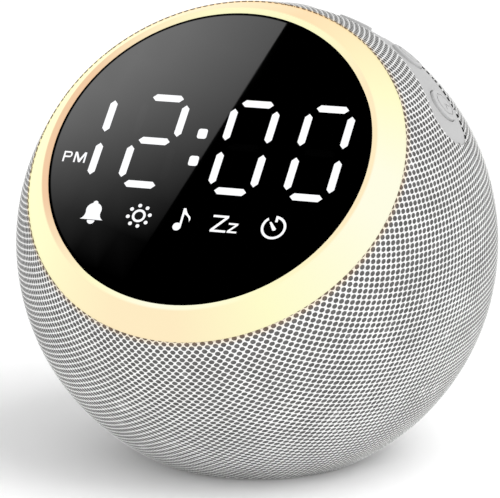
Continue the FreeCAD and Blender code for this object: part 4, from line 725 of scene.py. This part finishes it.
def cut_port(bm):
    if not near(bm, lambda d: in_port(d, 1.0)):
        return
    for reach, way in port_planes():
        cut(bm, way * reach, way, near(bm, lambda d: in_port(d, 1.5)), clear=False)
    drop(bm, lambda d: np.all([d @ way * BALL < reach for reach, way in port_planes()], axis=0) & (d @ PORT_OUT > 0))


def cut_panel(bm, seam_side):
    cut(bm, FACE * RING_EDGE, FACE)
    cut(bm, (0, 0, BASE_PLANE), (0, 0, -1))
    cut(bm, SEAM_WAY * SEAM, -SEAM_WAY * seam_side)
    cut_strip(bm)
    cut_port(bm)


print("panel cutter ready,", len(port_planes()), "planes around the socket")

# %% [markdown]
# ## Mesh cloth: turning the edges in
#
# Real cloth is tucked in at every edge, so you never look behind it. Each cut edge gets a short hem that runs down
# into the gap beside it: straight down beside the ring, and towards the ball's centre elsewhere. Only the edge at
# the flat base is left as it is, because a woven tape closes it off.

# %% Hem
SWELL = 0.36
SWELL_WIDTH = 4.0


def hem_edges(bm):
    """Open edges that lie on a cut, so not the ones where two pieces of one panel meet."""
    found = []
    for edge in bm.edges:
        if len(edge.link_faces) != 1:
            continue
        p = np.array((edge.verts[0].co + edge.verts[1].co) / 2.0)
        d = (p / np.linalg.norm(p))[None]
        flat = (abs(p @ FACE - RING_EDGE), abs(p @ SEAM_WAY - SEAM))
        by_strip = in_strip(d, 0.12)[0] and not in_strip(d, -0.12)[0]
        if min(flat) < 0.02 or by_strip or in_port(d, 0.3)[0]:
            found.append(edge)
    return found


def hem(bm):
    edges = hem_edges(bm)
    made = bmesh.ops.extrude_edge_only(bm, edges=edges)
    for vert in (item for item in made["geom"] if isinstance(item, bmesh.types.BMVert)):
        p = np.array(vert.co)
        if abs(p @ FACE - RING_EDGE) < 0.02:
            vert.co = p - FACE * 0.9
        else:
            vert.co = p * (1.0 - 0.8 / BALL)
    for item in made["geom"]:
        if isinstance(item, bmesh.types.BMFace):
            item.smooth = False


def clear_the_ring(bm):
    """Nothing of the cloth's edge reaches into the ring's wall."""
    for vert in bm.verts:
        p = np.array(vert.co)
        height = p @ FACE
        if height < RING_EDGE - 2.0:
            continue
        flat = p - FACE * height
        radius = np.linalg.norm(flat)
        if radius < RING_HOLE:
            vert.co = FACE * height + flat * (RING_HOLE / radius)


def swell_by_ring(bm):
    """The cloth stands up a little where it is tucked in around the ring."""
    for vert in bm.verts:
        share = (float(np.array(vert.co) @ FACE) - RING_EDGE) / SWELL_WIDTH + 1.0
        if share > 0.0:
            vert.co += Vector(FACE) * SWELL * min(share, 1.0) ** 2


print("hem tools ready")

# %% Make the panels
def panel(name, direction, axis, cells, seam_side):
    base = stand(name + "_cells", cell_mesh(name + "_cells", direction, cells))
    values = {mesh_inputs["Axis"]: [float(x) for x in axis], mesh_inputs["Depth share"]: 0.10}
    mesh = bake(base, open_mesh, values)
    bm = bmesh.new()
    bm.from_mesh(mesh)
    cut_panel(bm, seam_side)
    clear_the_ring(bm)
    hem(bm)
    swell_by_ring(bm)
    bm.to_mesh(mesh)
    bm.free()
    to_place(mesh)
    return stand(name, mesh)


def sectors(cells, middles_, count):
    """Split cells into groups of equal size, by their angle around the camera's axis."""
    angle = np.arctan2(middles_ @ UP, middles_ @ RIGHT)
    order = np.argsort(angle)
    return [cells[part] for part in np.array_split(order, count)]


panels = []
for number, cells in enumerate(sectors(front_cells, front_middles, 3)):
    panels.append(panel("front_cloth_%d" % (number + 1), front_knit, FRONT_AXIS, cells, 1.0))
for number, cells in enumerate(sectors(rear_cells, rear_middles, 2)):
    panels.append(panel("rear_cloth_%d" % (number + 1), rear_knit, REAR_AXIS, cells, -1.0))
for obj in panels:
    print(obj.name, count_triangles(obj.data), "triangles")

# %% [markdown]
# ## Mesh cloth: in place of the CAD skin
#
# Each panel is attached to the clock's body, and the plain skin that CAD has for the cloth is hidden. The depth of
# the holes adds about a third to the cloth's area over that of the ball it covers.


for obj in panels:
    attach(obj, "clock")
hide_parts("cloth_cover")
dressed.add("cloth_cover")

# %% [markdown]
# ## The tape around the base
#
# Underneath, the cloth ends on a narrow woven tape that fills the gap between the cloth and the base plate, flush
# with both. Its threads are too fine to model, so the finish carries a small, even bump. The tape is a ring with
# the same section all round, so it is turned like a bowl on a lathe.

# %% Tape
TAPE = (0.72, 0.72, 0.71)
TAPE_SECTION = ((0.02, 0.0), (1.80, 0.0), (1.94, 0.22), (0.64, 0.30))
tape_finish = new_finish("white_woven_tape", TAPE, 0.85)
mottle(tape_finish, 2.0, TAPE, 0.05)
bumpy(tape_finish, noise(tape_finish, 0.3, 1.0), 0.4, 0.05)


def turned(name, section, steps):
    """A ring turned around the vertical axis from its section: (radius, height) pairs, in order."""
    count = len(section)
    turns = [2.0 * math.pi * k / steps for k in range(steps)]
    points = [(r * math.cos(turn), r * math.sin(turn), z) for turn in turns for r, z in section]
    quads = [(k * count + i, k * count + (i + 1) % count, (k + 1) % steps * count + (i + 1) % count,
              (k + 1) % steps * count + i) for k in range(steps) for i in range(count)]
    mesh = bpy.data.meshes.new(name)
    mesh.from_pydata(points, [], quads)
    bm = bmesh.new()
    bm.from_mesh(mesh)
    bmesh.ops.recalc_face_normals(bm, faces=bm.faces)
    bm.to_mesh(mesh)
    bm.free()
    return mesh


tape_mesh = turned("base_tape", [(BASE_INNER_RIM + r, BASE_PLANE + z) for r, z in TAPE_SECTION], 128)
tape_mesh.materials.append(tape_finish)
to_place(tape_mesh)
tape = stand("base_tape", tape_mesh)
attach(tape, "clock")
print("tape", count_triangles(tape_mesh), "triangles")

# %% [markdown]
# ## The seam
#
# The two panels meet in a piped seam around the back, square to the table: a thin cord under a fold of the same
# tape, with a row of stitches on each side. It disappears under the key strip and under the base. A path and a
# profile make the piping, and the stitches are one small shape that follows the same path, so both are Geometry
# Nodes.

# %% The seam's path
def seam_path(offset, lift, step=0.5):
    """Points of the seam circle, moved offset millimetres towards the front, broken where other pieces cover it."""
    level = SEAM + offset
    radius = math.sqrt(BALL ** 2 - level ** 2)
    turns = np.radians(np.arange(0.0, 360.0, step))
    points = SEAM_WAY * level + radius * np.stack([np.cos(turns), np.zeros(len(turns)), np.sin(turns)], axis=1)
    d = points / BALL
    free = on_clock(d, -0.55)
    links = [(k, (k + 1) % len(points)) for k in range(len(points)) if free[k] and free[(k + 1) % len(points)]]
    used = sorted({k for pair in links for k in pair})
    place = {k: n for n, k in enumerate(used)}
    mesh = bpy.data.meshes.new("seam path")
    mesh.from_pydata((d[used] * (BALL + lift)).tolist(), [(place[a], place[b]) for a, b in links], [])
    return mesh


print("seam path has", len(seam_path(0.0, 0.0).edges), "steps")

# %% Geometry Nodes: piping and stitches
def piping_tree(finish):
    tree, source, result = start_tree("piping")
    size = tree_input(tree, "Radius", "NodeSocketFloat", 0.38)
    link = tree.links.new
    curve = tree.nodes.new("GeometryNodeMeshToCurve")
    ring = tree.nodes.new("GeometryNodeCurvePrimitiveCircle")
    ring.inputs["Resolution"].default_value = 10
    body = tree.nodes.new("GeometryNodeCurveToMesh")
    body.inputs["Fill Caps"].default_value = True
    real = tree.nodes.new("GeometryNodeRealizeInstances")
    colour = tree.nodes.new("GeometryNodeSetMaterial")
    colour.inputs["Material"].default_value = finish
    link(source.outputs["Geometry"], curve.inputs["Mesh"])
    link(source.outputs["Radius"], ring.inputs["Radius"])
    link(curve.outputs["Curve"], body.inputs["Curve"])
    link(ring.outputs["Curve"], body.inputs["Profile Curve"])
    link(body.outputs["Mesh"], real.inputs["Geometry"])
    link(real.outputs["Geometry"], colour.inputs["Geometry"])
    link(colour.outputs["Geometry"], result.inputs["Geometry"])
    return tree, size


def stitch_tree(finish):
    tree, source, result = start_tree("stitches")
    names = {name: tree_input(tree, name, "NodeSocketFloat", value) for name, value in
             (("Stitch pitch", 2.4), ("Stitch length", 1.7), ("Stitch width", 0.34))}
    link = tree.links.new
    curve = tree.nodes.new("GeometryNodeMeshToCurve")
    points = tree.nodes.new("GeometryNodeCurveToPoints")
    points.mode = "LENGTH"
    one = tree.nodes.new("GeometryNodeMeshUVSphere")
    one.inputs["Segments"].default_value = 6
    one.inputs["Rings"].default_value = 5
    one.inputs["Radius"].default_value = 0.5
    size = tree.nodes.new("ShaderNodeCombineXYZ")
    copies = tree.nodes.new("GeometryNodeInstanceOnPoints")
    real = tree.nodes.new("GeometryNodeRealizeInstances")
    colour = tree.nodes.new("GeometryNodeSetMaterial")
    colour.inputs["Material"].default_value = finish
    link(source.outputs["Geometry"], curve.inputs["Mesh"])
    link(curve.outputs["Curve"], points.inputs["Curve"])
    link(source.outputs["Stitch pitch"], points.inputs["Length"])
    link(source.outputs["Stitch width"], size.inputs["X"])
    link(source.outputs["Stitch width"], size.inputs["Y"])
    link(source.outputs["Stitch length"], size.inputs["Z"])
    link(points.outputs["Points"], copies.inputs["Points"])
    link(points.outputs["Rotation"], copies.inputs["Rotation"])
    link(one.outputs["Mesh"], copies.inputs["Instance"])
    link(size.outputs["Vector"], copies.inputs["Scale"])
    link(copies.outputs["Instances"], real.inputs["Geometry"])
    link(real.outputs["Geometry"], colour.inputs["Geometry"])
    link(colour.outputs["Geometry"], result.inputs["Geometry"])
    return tree, names


print("seam trees ready")

# %% Sew the seam
piping, piping_size = piping_tree(tape_finish)
stitching, stitch_names = stitch_tree(thread_finish)
seam_mesh = bake(stand("seam_line", seam_path(0.0, -0.12)), piping, {piping_size: 0.38})
row_meshes = [bake(stand("stitch_line", seam_path(side, 0.0)), stitching, {stitch_names["Stitch pitch"]: 2.4})
              for side in (-1.15, 1.15)]
for name, mesh in (("seam_piping", seam_mesh), ("front_stitches", row_meshes[1]), ("rear_stitches", row_meshes[0])):
    for face in mesh.polygons:
        face.use_smooth = True
    to_place(mesh)
    piece = stand(name, mesh)
    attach(piece, "clock")
    print(name, count_triangles(mesh), "triangles")

# %% [markdown]
# ## The glowing ring
#
# The ring is a milky diffuser over 24 warm LEDs. Its light is emission, and its tone runs from lemon to peach
# around it, with the narrow land at its inner edge in a warmer tone of its own. These tones are painted shading: the
# dome and the land face different ways, so each is painted lighter and darker by turns around the ring, the land's
# tones mostly opposite to the dome's. Two colour ramps follow the angle around the display, one for the dome and one
# for the land, and the radius picks between them.

# %% The ring's finish
def linear(code):
    """A colour as it is written in hex, turned to the linear numbers that shaders take."""
    parts = [int(code[k:k + 2], 16) / 255.0 for k in (0, 2, 4)]
    return tuple(p / 12.92 if p <= 0.04045 else ((p + 0.055) / 1.055) ** 2.4 for p in parts)


CREAM = linear("fffee4")
LEMON = linear("fffdcb")
VANILLA = linear("ffecc2")
PEACH = linear("fddcab")
APRICOT = linear("f4cba3")
# Painted shading on the lit ring: tones of the dome and of the land by the angle around the display.
DOME_SHADING_TONES = ((0.0, LEMON), (0.1, LEMON), (0.2, VANILLA), (0.26, VANILLA), (0.34, LEMON), (0.46, CREAM), (0.5, CREAM),
              (0.58, LEMON), (0.7, PEACH), (0.8, VANILLA), (0.9, LEMON), (1.0, LEMON))
LAND_SHADING_TONES = ((0.0, APRICOT), (0.06, APRICOT), (0.13, VANILLA), (0.17, LEMON), (0.24, CREAM), (0.34, LEMON),
              (0.45, VANILLA), (0.59, VANILLA), (0.67, LEMON), (0.79, LEMON), (0.85, VANILLA), (0.92, APRICOT),
              (1.0, APRICOT))
ring_finish = new_finish("milky_lit_diffuser", (0.03, 0.026, 0.02), 0.5)
shader_of(ring_finish).inputs["Specular IOR Level"].default_value = 0.15
face_x, face_y, _ = face_coordinates(ring_finish)
turn_share = around(ring_finish, face_x, face_y)
dome = ramp(ring_finish, turn_share, DOME_SHADING_TONES)
land = ramp(ring_finish, turn_share, LAND_SHADING_TONES)
radius = out_from_middle(ring_finish, face_x, face_y)
tone = add_node(ring_finish, "ShaderNodeMix", data_type="RGBA")
join(ring_finish, step_at(ring_finish, radius, 36.4, 36.8), tone.inputs[0])
join(ring_finish, land, tone.inputs[6])
join(ring_finish, dome, tone.inputs[7])
join(ring_finish, tone.outputs[2], shader_of(ring_finish).inputs["Emission Color"])
shader_of(ring_finish).inputs["Emission Strength"].default_value = 0.95
dress(ring_finish, "light_ring")
print("ring lit by", len(DOME_SHADING_TONES) - 1, "tones")

# %% [markdown]
# ## The display
#
# The display's window is smoked acrylic, black until its bars light up, and glossy enough to mirror the room. The
# lit bars are flat white light. The unlit bars are the same black plastic, so they vanish, as they should.

# %% Lens, lit and unlit bars
lens_finish = new_finish("smoked_black_acrylic", (0.0, 0.0, 0.0), 0.015)
shader_of(lens_finish).inputs["IOR"].default_value = 1.49
uneven_gloss(lens_finish, 9.0, 0.012, 0.02)
lens_x, lens_y, _ = face_coordinates(lens_finish)
polished = step_at(lens_finish, out_from_middle(lens_finish, lens_x, lens_y), 34.50, 34.70, 0.5, 0.0)
join(lens_finish, polished, shader_of(lens_finish).inputs["Specular IOR Level"])
dress(lens_finish, "display_lens")
unlit_finish = new_finish("unlit_bar", (0.0005, 0.0005, 0.0005), 0.015)
uneven_gloss(unlit_finish, 5.0, 0.012, 0.02)
dress(unlit_finish, "dark_segments")
lit_finish = new_finish("lit_bar", (0.02, 0.02, 0.02), 0.3)
glow = ramp(lit_finish, noise(lit_finish, 4.0), [(0.3, (0.96, 0.97, 1.0)), (0.7, (1.0, 1.0, 1.0))])
join(lit_finish, glow, shader_of(lit_finish).inputs["Emission Color"])
shader_of(lit_finish).inputs["Emission Strength"].default_value = 1.0
dress(lit_finish, "lit_segments", "colon_dots", "pm_mark", "status_signs")
print("display dressed")

# %% [markdown]
# ## Keys and strip
#
# The strip and its keys are one batch of matt white plastic with a spark-eroded skin: a very fine, even grain that
# spreads the light. It is made with two sizes of noise, a fine one for the skin and a slow one for the colour.

# %% Moulded plastics
def moulded(name, colour, roughness, grain=0.25, depth=0.012, spread=0.03):
    finish = new_finish(name, colour, roughness)
    mottle(finish, 14.0, colour, spread)
    bumpy(finish, noise(finish, grain, 2.0), 0.35, depth)
    return finish


KEYS = ("volume_down_key", "volume_up_key", "sound_key", "snooze_key", "alarm_key", "power_key", "timer_key")
strip_finish = moulded("white_strip_plastic", (0.54, 0.54, 0.54), 0.5)
key_finish = moulded("white_key_plastic", (0.56, 0.56, 0.56), 0.45)
dress(strip_finish, "button_plate")
dress(key_finish, *KEYS)
dress(moulded("grey_shell_plastic", (0.30, 0.30, 0.31), 0.6), "front_shell", "rear_shell")
dress(moulded("white_base_plastic", (0.74, 0.74, 0.73), 0.5, 0.4, 0.02), "base_plate")
dress(moulded("white_bracket_plastic", (0.72, 0.72, 0.70), 0.55), "key_bracket")
dress(moulded("white_reflector_plastic", (0.85, 0.85, 0.84), 0.35), "display_light_block", "ring_carrier")
dress(moulded("cream_plug_plastic", (0.78, 0.74, 0.62), 0.4), "board_connectors", "display_connector")
dress(moulded("black_socket_plastic", (0.022, 0.022, 0.023), 0.5), "port_panel")
dress(moulded("black_switch_plastic", (0.02, 0.02, 0.02), 0.55), "tact_switches", "cell_holder")
dress(moulded("black_chip_resin", (0.03, 0.03, 0.032), 0.7, 0.12, 0.01), "board_chips")
print("plastics dressed")

# %% [markdown]
# ## Rubber, foam and cloth inside
#
# Rubber is dark, matt and a little dusty. The gasket is open foam with visible pores. The loudspeaker's spider is
# brown resin-dipped cotton, with a weave that two crossed wave textures draw.

# %% Soft finishes
rubber_finish = moulded("black_foot_rubber", (0.028, 0.028, 0.029), 0.8, 0.5, 0.03, 0.2)
dress(rubber_finish, "rubber_foot")
dress(moulded("speaker_roll_rubber", (0.018, 0.018, 0.019), 0.55, 0.8, 0.01, 0.15), "speaker_surround")

gasket_finish = new_finish("grey_gasket_foam", (0.10, 0.10, 0.105), 0.9)
pores = add_node(gasket_finish, "ShaderNodeTexVoronoi")
pores.inputs["Scale"].default_value = 1.0 / (0.35 * MM)
gasket_place = add_node(gasket_finish, "ShaderNodeTexCoord")
join(gasket_finish, gasket_place.outputs["Object"], pores.inputs["Vector"])
mottle(gasket_finish, 3.0, (0.10, 0.10, 0.105), 0.2)
bumpy(gasket_finish, pores.outputs["Distance"], 0.8, 0.1)
dress(gasket_finish, "lens_gasket")


def waves(finish, size, direction="X", kind="BANDS"):
    where = add_node(finish, "ShaderNodeTexCoord")
    texture = add_node(finish, "ShaderNodeTexWave", wave_type=kind)
    if kind == "BANDS":
        texture.bands_direction = direction
    else:
        texture.rings_direction = direction
    texture.inputs["Scale"].default_value = 0.314 / (size * MM)
    texture.inputs["Distortion"].default_value = 0.4
    join(finish, where.outputs["Object"], texture.inputs["Vector"])
    return texture.outputs["Fac"]


spider_finish = new_finish("brown_spider_cotton", (0.30, 0.17, 0.07), 0.85)
mottle(spider_finish, 4.0, (0.30, 0.17, 0.07), 0.15)
crossed = maths(spider_finish, "ADD", waves(spider_finish, 0.5, "X"), waves(spider_finish, 0.5, "Z"))
bumpy(spider_finish, crossed, 0.6, 0.05)
dress(spider_finish, "speaker_spider")
print("soft finishes dressed")

# %% [markdown]
# ## Metals
#
# Screws and the speaker basket are zinc-plated steel: grey, slightly blue, with soft blotches. Capacitor cans are
# drawn aluminium, the coin cell is polished steel with a circular brush, and the winding is enamelled copper whose
# turns are a wave texture one wire apart.

# %% Metal finishes
def metal(name, colour, low, high, size=2.0):
    finish = new_finish(name, colour, (low + high) / 2.0, 1.0)
    mottle(finish, size * 3.0, colour, 0.06)
    uneven_gloss(finish, size, low, high)
    return finish


zinc = metal("zinc_plated_steel", (0.58, 0.60, 0.63), 0.25, 0.45)
dress(zinc, "display_screws", "ring_screws", "bracket_screws", "speaker_screws", "shell_screws", "base_screws",
      "board_screws", "speaker_top_plate", "speaker_yoke")
dress(metal("pressed_basket_steel", (0.42, 0.43, 0.45), 0.35, 0.55, 4.0), "speaker_frame")
dress(metal("bright_socket_steel", (0.72, 0.72, 0.74), 0.15, 0.3), "usb_socket")
dress(metal("drawn_aluminium_can", (0.80, 0.81, 0.83), 0.2, 0.35), "board_capacitors")
cell_finish = metal("polished_cell_steel", (0.70, 0.70, 0.69), 0.15, 0.28)
bumpy(cell_finish, waves(cell_finish, 0.25, "Z", "RINGS"), 0.25, 0.01)
dress(cell_finish, "coin_cell")
copper = metal("enamelled_copper", (0.72, 0.33, 0.14), 0.25, 0.4)
bumpy(copper, waves(copper, 0.22, "Y"), 0.8, 0.08)
dress(copper, "voice_coil")
ferrite = new_finish("sintered_ferrite", (0.055, 0.055, 0.06), 0.6)
mottle(ferrite, 2.5, (0.055, 0.055, 0.06), 0.3)
bumpy(ferrite, noise(ferrite, 0.6), 0.6, 0.05)
dress(ferrite, "speaker_magnet")
print("metals dressed")

# %% [markdown]
# ## Boards, LEDs and the speaker's paper
#
# A circuit board is green lacquer over copper tracks, and the tracks show as slightly lighter lines. A brick
# texture with thin mortar draws them. LEDs are pale yellow gel in a white body. The speaker cone is pressed paper
# pulp, nearly black, with short fibres.

# %% Boards, LEDs, paper
board_finish = new_finish("green_lacquered_board", (0.012, 0.12, 0.045), 0.3)
board_place = add_node(board_finish, "ShaderNodeTexCoord")
tracks = add_node(board_finish, "ShaderNodeTexBrick")
for name, value in (("Scale", 110.0), ("Mortar Size", 0.04), ("Brick Width", 0.9), ("Row Height", 0.25)):
    tracks.inputs[name].default_value = value
for name, value in (("Color1", (0.012, 0.12, 0.045, 1)), ("Color2", (0.014, 0.135, 0.05, 1)),
                    ("Mortar", (0.05, 0.25, 0.09, 1))):
    tracks.inputs[name].default_value = value
join(board_finish, board_place.outputs["Object"], tracks.inputs["Vector"])
join(board_finish, tracks.outputs["Color"], shader_of(board_finish).inputs["Base Color"])
bumpy(board_finish, tracks.outputs["Fac"], 0.4, 0.03)
dress(board_finish, "main_board", "display_board", "ring_led_board", "port_board", "key_flex_board")

led_finish = new_finish("led_gel", (0.85, 0.78, 0.42), 0.2)
mottle(led_finish, 1.2, (0.85, 0.78, 0.42), 0.18)
dress(led_finish, "ring_leds", "segment_leds")

paper = new_finish("pressed_paper_pulp", (0.035, 0.035, 0.038), 0.9)
mottle(paper, 1.5, (0.035, 0.035, 0.038), 0.3)
bumpy(paper, noise(paper, 0.5, 6.0), 0.7, 0.06)
dress(paper, "speaker_cone", "dust_cap")
print("boards, LEDs and paper dressed")

# %% [markdown]
# ## Wires
#
# Each pair of leads is one red and one black wire. Both are in one CAD piece, so the colour is chosen by which
# side of the pair's middle a point is on. The ribbon is grey with a faint line between its wires.

# %% Wire insulation
def paired_wires(name, node):
    low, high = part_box(node)
    finish = new_finish(name, (0.4, 0.02, 0.02), 0.4)
    where = add_node(finish, "ShaderNodeTexCoord")
    apart = add_node(finish, "ShaderNodeSeparateXYZ")
    join(finish, where.outputs["Object"], apart.inputs["Vector"])
    side = maths(finish, "GREATER_THAN", apart.outputs["X"], (low.x + high.x) / 2.0)
    colour = ramp(finish, side, [(0.4, (0.42, 0.018, 0.015)), (0.6, (0.018, 0.018, 0.018))])
    join(finish, colour, shader_of(finish).inputs["Base Color"])
    bumpy(finish, noise(finish, 0.5), 0.15, 0.02)
    dress(finish, node)


paired_wires("speaker_lead_insulation", "speaker_leads")
paired_wires("power_lead_insulation", "power_leads")
ribbon_finish = new_finish("grey_ribbon_insulation", (0.45, 0.45, 0.46), 0.45)
shade = ramp(ribbon_finish, waves(ribbon_finish, 1.0, "X"), [(0.2, (0.30, 0.30, 0.31)), (0.6, (0.50, 0.50, 0.51))])
join(ribbon_finish, shade, shader_of(ribbon_finish).inputs["Base Color"])
dress(ribbon_finish, "display_ribbon")
print("bare pieces left:", sorted(set(nodes) - dressed))

# %% [markdown]
# ## Floor and light
#
# A white table under a wide soft sky shows the clock plainly. Sky and table are about equally bright, so the
# threads are as white underneath as on top. A weak lamp from the right gives the ball its shape, a weaker one low
# in front reaches the threads near its foot, and a wide sun is linked to the table alone: it makes the table white
# and draws the soft shadow, without bleaching the clock. The camera sees the sky as white, through Light Path.

# %% Floor
floor_mesh = bpy.data.meshes.new("floor")
floor_mesh.from_pydata([(-3, -3, 0), (3, -3, 0), (3, 6, 0), (-3, 6, 0)], [], [(0, 1, 2, 3)])
floor = stand("floor", floor_mesh)
floor_finish = new_finish("white_table", (0.82, 0.82, 0.82), 0.9)
shader_of(floor_finish).inputs["Specular IOR Level"].default_value = 0.0
seen = add_node(floor_finish, "ShaderNodeLightPath")
directly = maths(floor_finish, "MULTIPLY", seen.outputs["Is Camera Ray"], 0.10)
shader_of(floor_finish).inputs["Emission Color"].default_value = (1.0, 1.0, 1.0, 1.0)
join(floor_finish, directly, shader_of(floor_finish).inputs["Emission Strength"])
floor_mesh.materials.append(floor_finish)
print("floor laid")

# %% Sky
SKY_LIGHT = 0.86
world = bpy.data.worlds.new("soft_sky")
bpy.context.scene.world = world
world.use_nodes = True
sky = world.node_tree.nodes["Background"]
path = world.node_tree.nodes.new("ShaderNodeLightPath")
most = world.node_tree.nodes.new("ShaderNodeMath")
most.operation = "MAXIMUM"
world.node_tree.links.new(path.outputs["Is Camera Ray"], most.inputs[0])
world.node_tree.links.new(path.outputs["Is Glossy Ray"], most.inputs[1])
again = world.node_tree.nodes.new("ShaderNodeMath")
again.operation = "MAXIMUM"
world.node_tree.links.new(most.outputs[0], again.inputs[0])
world.node_tree.links.new(path.outputs["Is Transmission Ray"], again.inputs[1])
level = world.node_tree.nodes.new("ShaderNodeMapRange")
level.inputs["To Min"].default_value = SKY_LIGHT
level.inputs["To Max"].default_value = 1.0
world.node_tree.links.new(again.outputs[0], level.inputs["Value"])
world.node_tree.links.new(level.outputs["Result"], sky.inputs["Strength"])
sky.inputs["Color"].default_value = (1.0, 1.0, 1.0, 1.0)
print("sky at", SKY_LIGHT)

# %% Lamp
def soft_lamp(name, place, size, power, colour=(1.0, 1.0, 1.0)):
    data = bpy.data.lights.new(name, "AREA")
    data.shape = "DISK"
    data.size = size
    data.energy = power
    data.color = colour
    lamp = bpy.data.objects.new(name, data)
    bpy.context.scene.collection.objects.link(lamp)
    aim = (CENTRE * MM - Vector(place)).normalized()
    lamp.matrix_world = Matrix.Translation(place) @ aim.to_track_quat("-Z", "Y").to_matrix().to_4x4()
    return lamp


soft_lamp("side_lamp", (0.60, -0.25, 0.45), 0.5, 0.8)
soft_lamp("low_lamp", (0.12, -0.70, 0.07), 0.3, 0.45)
print("lamps placed")

# %% A sun for the table
def table_sun(strength, spread, place):
    """A wide soft sun that lights only the table; everything still casts a shadow in it."""
    data = bpy.data.lights.new("table_sun", "SUN")
    data.energy = strength
    data.angle = math.radians(spread)
    lamp = bpy.data.objects.new("table_sun", data)
    bpy.context.scene.collection.objects.link(lamp)
    lamp.matrix_world = (-Vector(place)).to_track_quat("-Z", "Y").to_matrix().to_4x4()
    lit = bpy.data.collections.new("lit by the table sun")
    lit.objects.link(floor)
    lamp.light_linking.receiver_collection = lit
    return lamp


sun_side = RIGHT * 0.50 - unit(np.cross([0.0, 0.0, 1.0], RIGHT)) * 0.22 + np.array([0.0, 0.0, 0.90])
table_sun(1.4, 44.0, sun_side)
print("table sun from", [round(float(x), 2) for x in sun_side])

# %% [markdown]
# ## What the display mirrors
#
# The window mirrors whatever is above and in front of it. In a studio that is two cards: a grey one whose edge
# crosses the window on a slant, fading towards its foot, and a black one beside it. Both are only seen in
# reflections. Their outlines are found by bouncing the camera's rays off the window.

# %% Cards
def bounce(x, y, distance):
    """Where the camera's ray to a point of the window goes, distance millimetres after it bounces."""
    point = np.array([1.0, 0, 0]) * x + FACE_UP * y + FACE * LENS_HEIGHT
    ray = unit(point - EYE)
    mirrored = ray - 2.0 * (ray @ FACE) * FACE
    return point + mirrored * distance


def card(name, side, light, rows=12):
    """A card whose reflection covers the window from the slanted line outwards, side millimetres wide."""
    grid = [EDGE_FOOT + EDGE * along + side * across
            for along in np.linspace(-0.25, 1.25, rows) for across in np.linspace(0.0, 1.0, rows)]
    quads = [(r * rows + c, r * rows + c + 1, (r + 1) * rows + c + 1, (r + 1) * rows + c)
             for r in range(rows - 1) for c in range(rows - 1)]
    mesh = bpy.data.meshes.new(name)
    mesh.from_pydata([(Vector(bounce(x, y, CARD_DISTANCE)) + CENTRE) * MM for x, y in grid], [], quads)
    attribute = mesh.attributes.new("glow", "FLOAT", "POINT")
    attribute.data.foreach_set("value", [light(x, y) for x, y in grid])
    obj = stand(name, mesh)
    for way in ("camera", "diffuse", "transmission", "volume_scatter", "shadow"):
        setattr(obj, "visible_" + way, False)
    finish = new_finish(name, (0.0, 0.0, 0.0), 1.0)
    shader_of(finish).inputs["Specular IOR Level"].default_value = 0.0
    value = add_node(finish, "ShaderNodeAttribute", attribute_name="glow")
    shader_of(finish).inputs["Emission Color"].default_value = (1.0, 1.0, 1.0, 1.0)
    join(finish, value.outputs["Fac"], shader_of(finish).inputs["Emission Strength"])
    mesh.materials.append(finish)
    return obj


def fading_grey(x, y):
    """Light on the grey card: brightest at its top left, gone at its foot."""
    tone = 0.314 + 0.0078 * y - 0.000104 * y * y - 0.0039 * (x + 22.0)
    return min(0.435, max(0.0, tone)) ** 2.25 * MIRROR


CARD_DISTANCE = 300.0
MIRROR = 24.0
EDGE_FOOT = np.array([-11.0, -32.54])
EDGE = np.array([20.63, 66.36])
AWAY = np.array([EDGE[1], -EDGE[0]]) / np.linalg.norm(EDGE) * 75.0
card("grey_card", -AWAY, fading_grey)
card("black_card", AWAY, lambda x, y: 0.0)
print("cards", CARD_DISTANCE, "mm from the window")

# %% [markdown]
# ## Finish
#
# The picture is shown as the numbers are, with no film-like curve.

# %% The end
bpy.context.scene.view_settings.view_transform = "Standard"
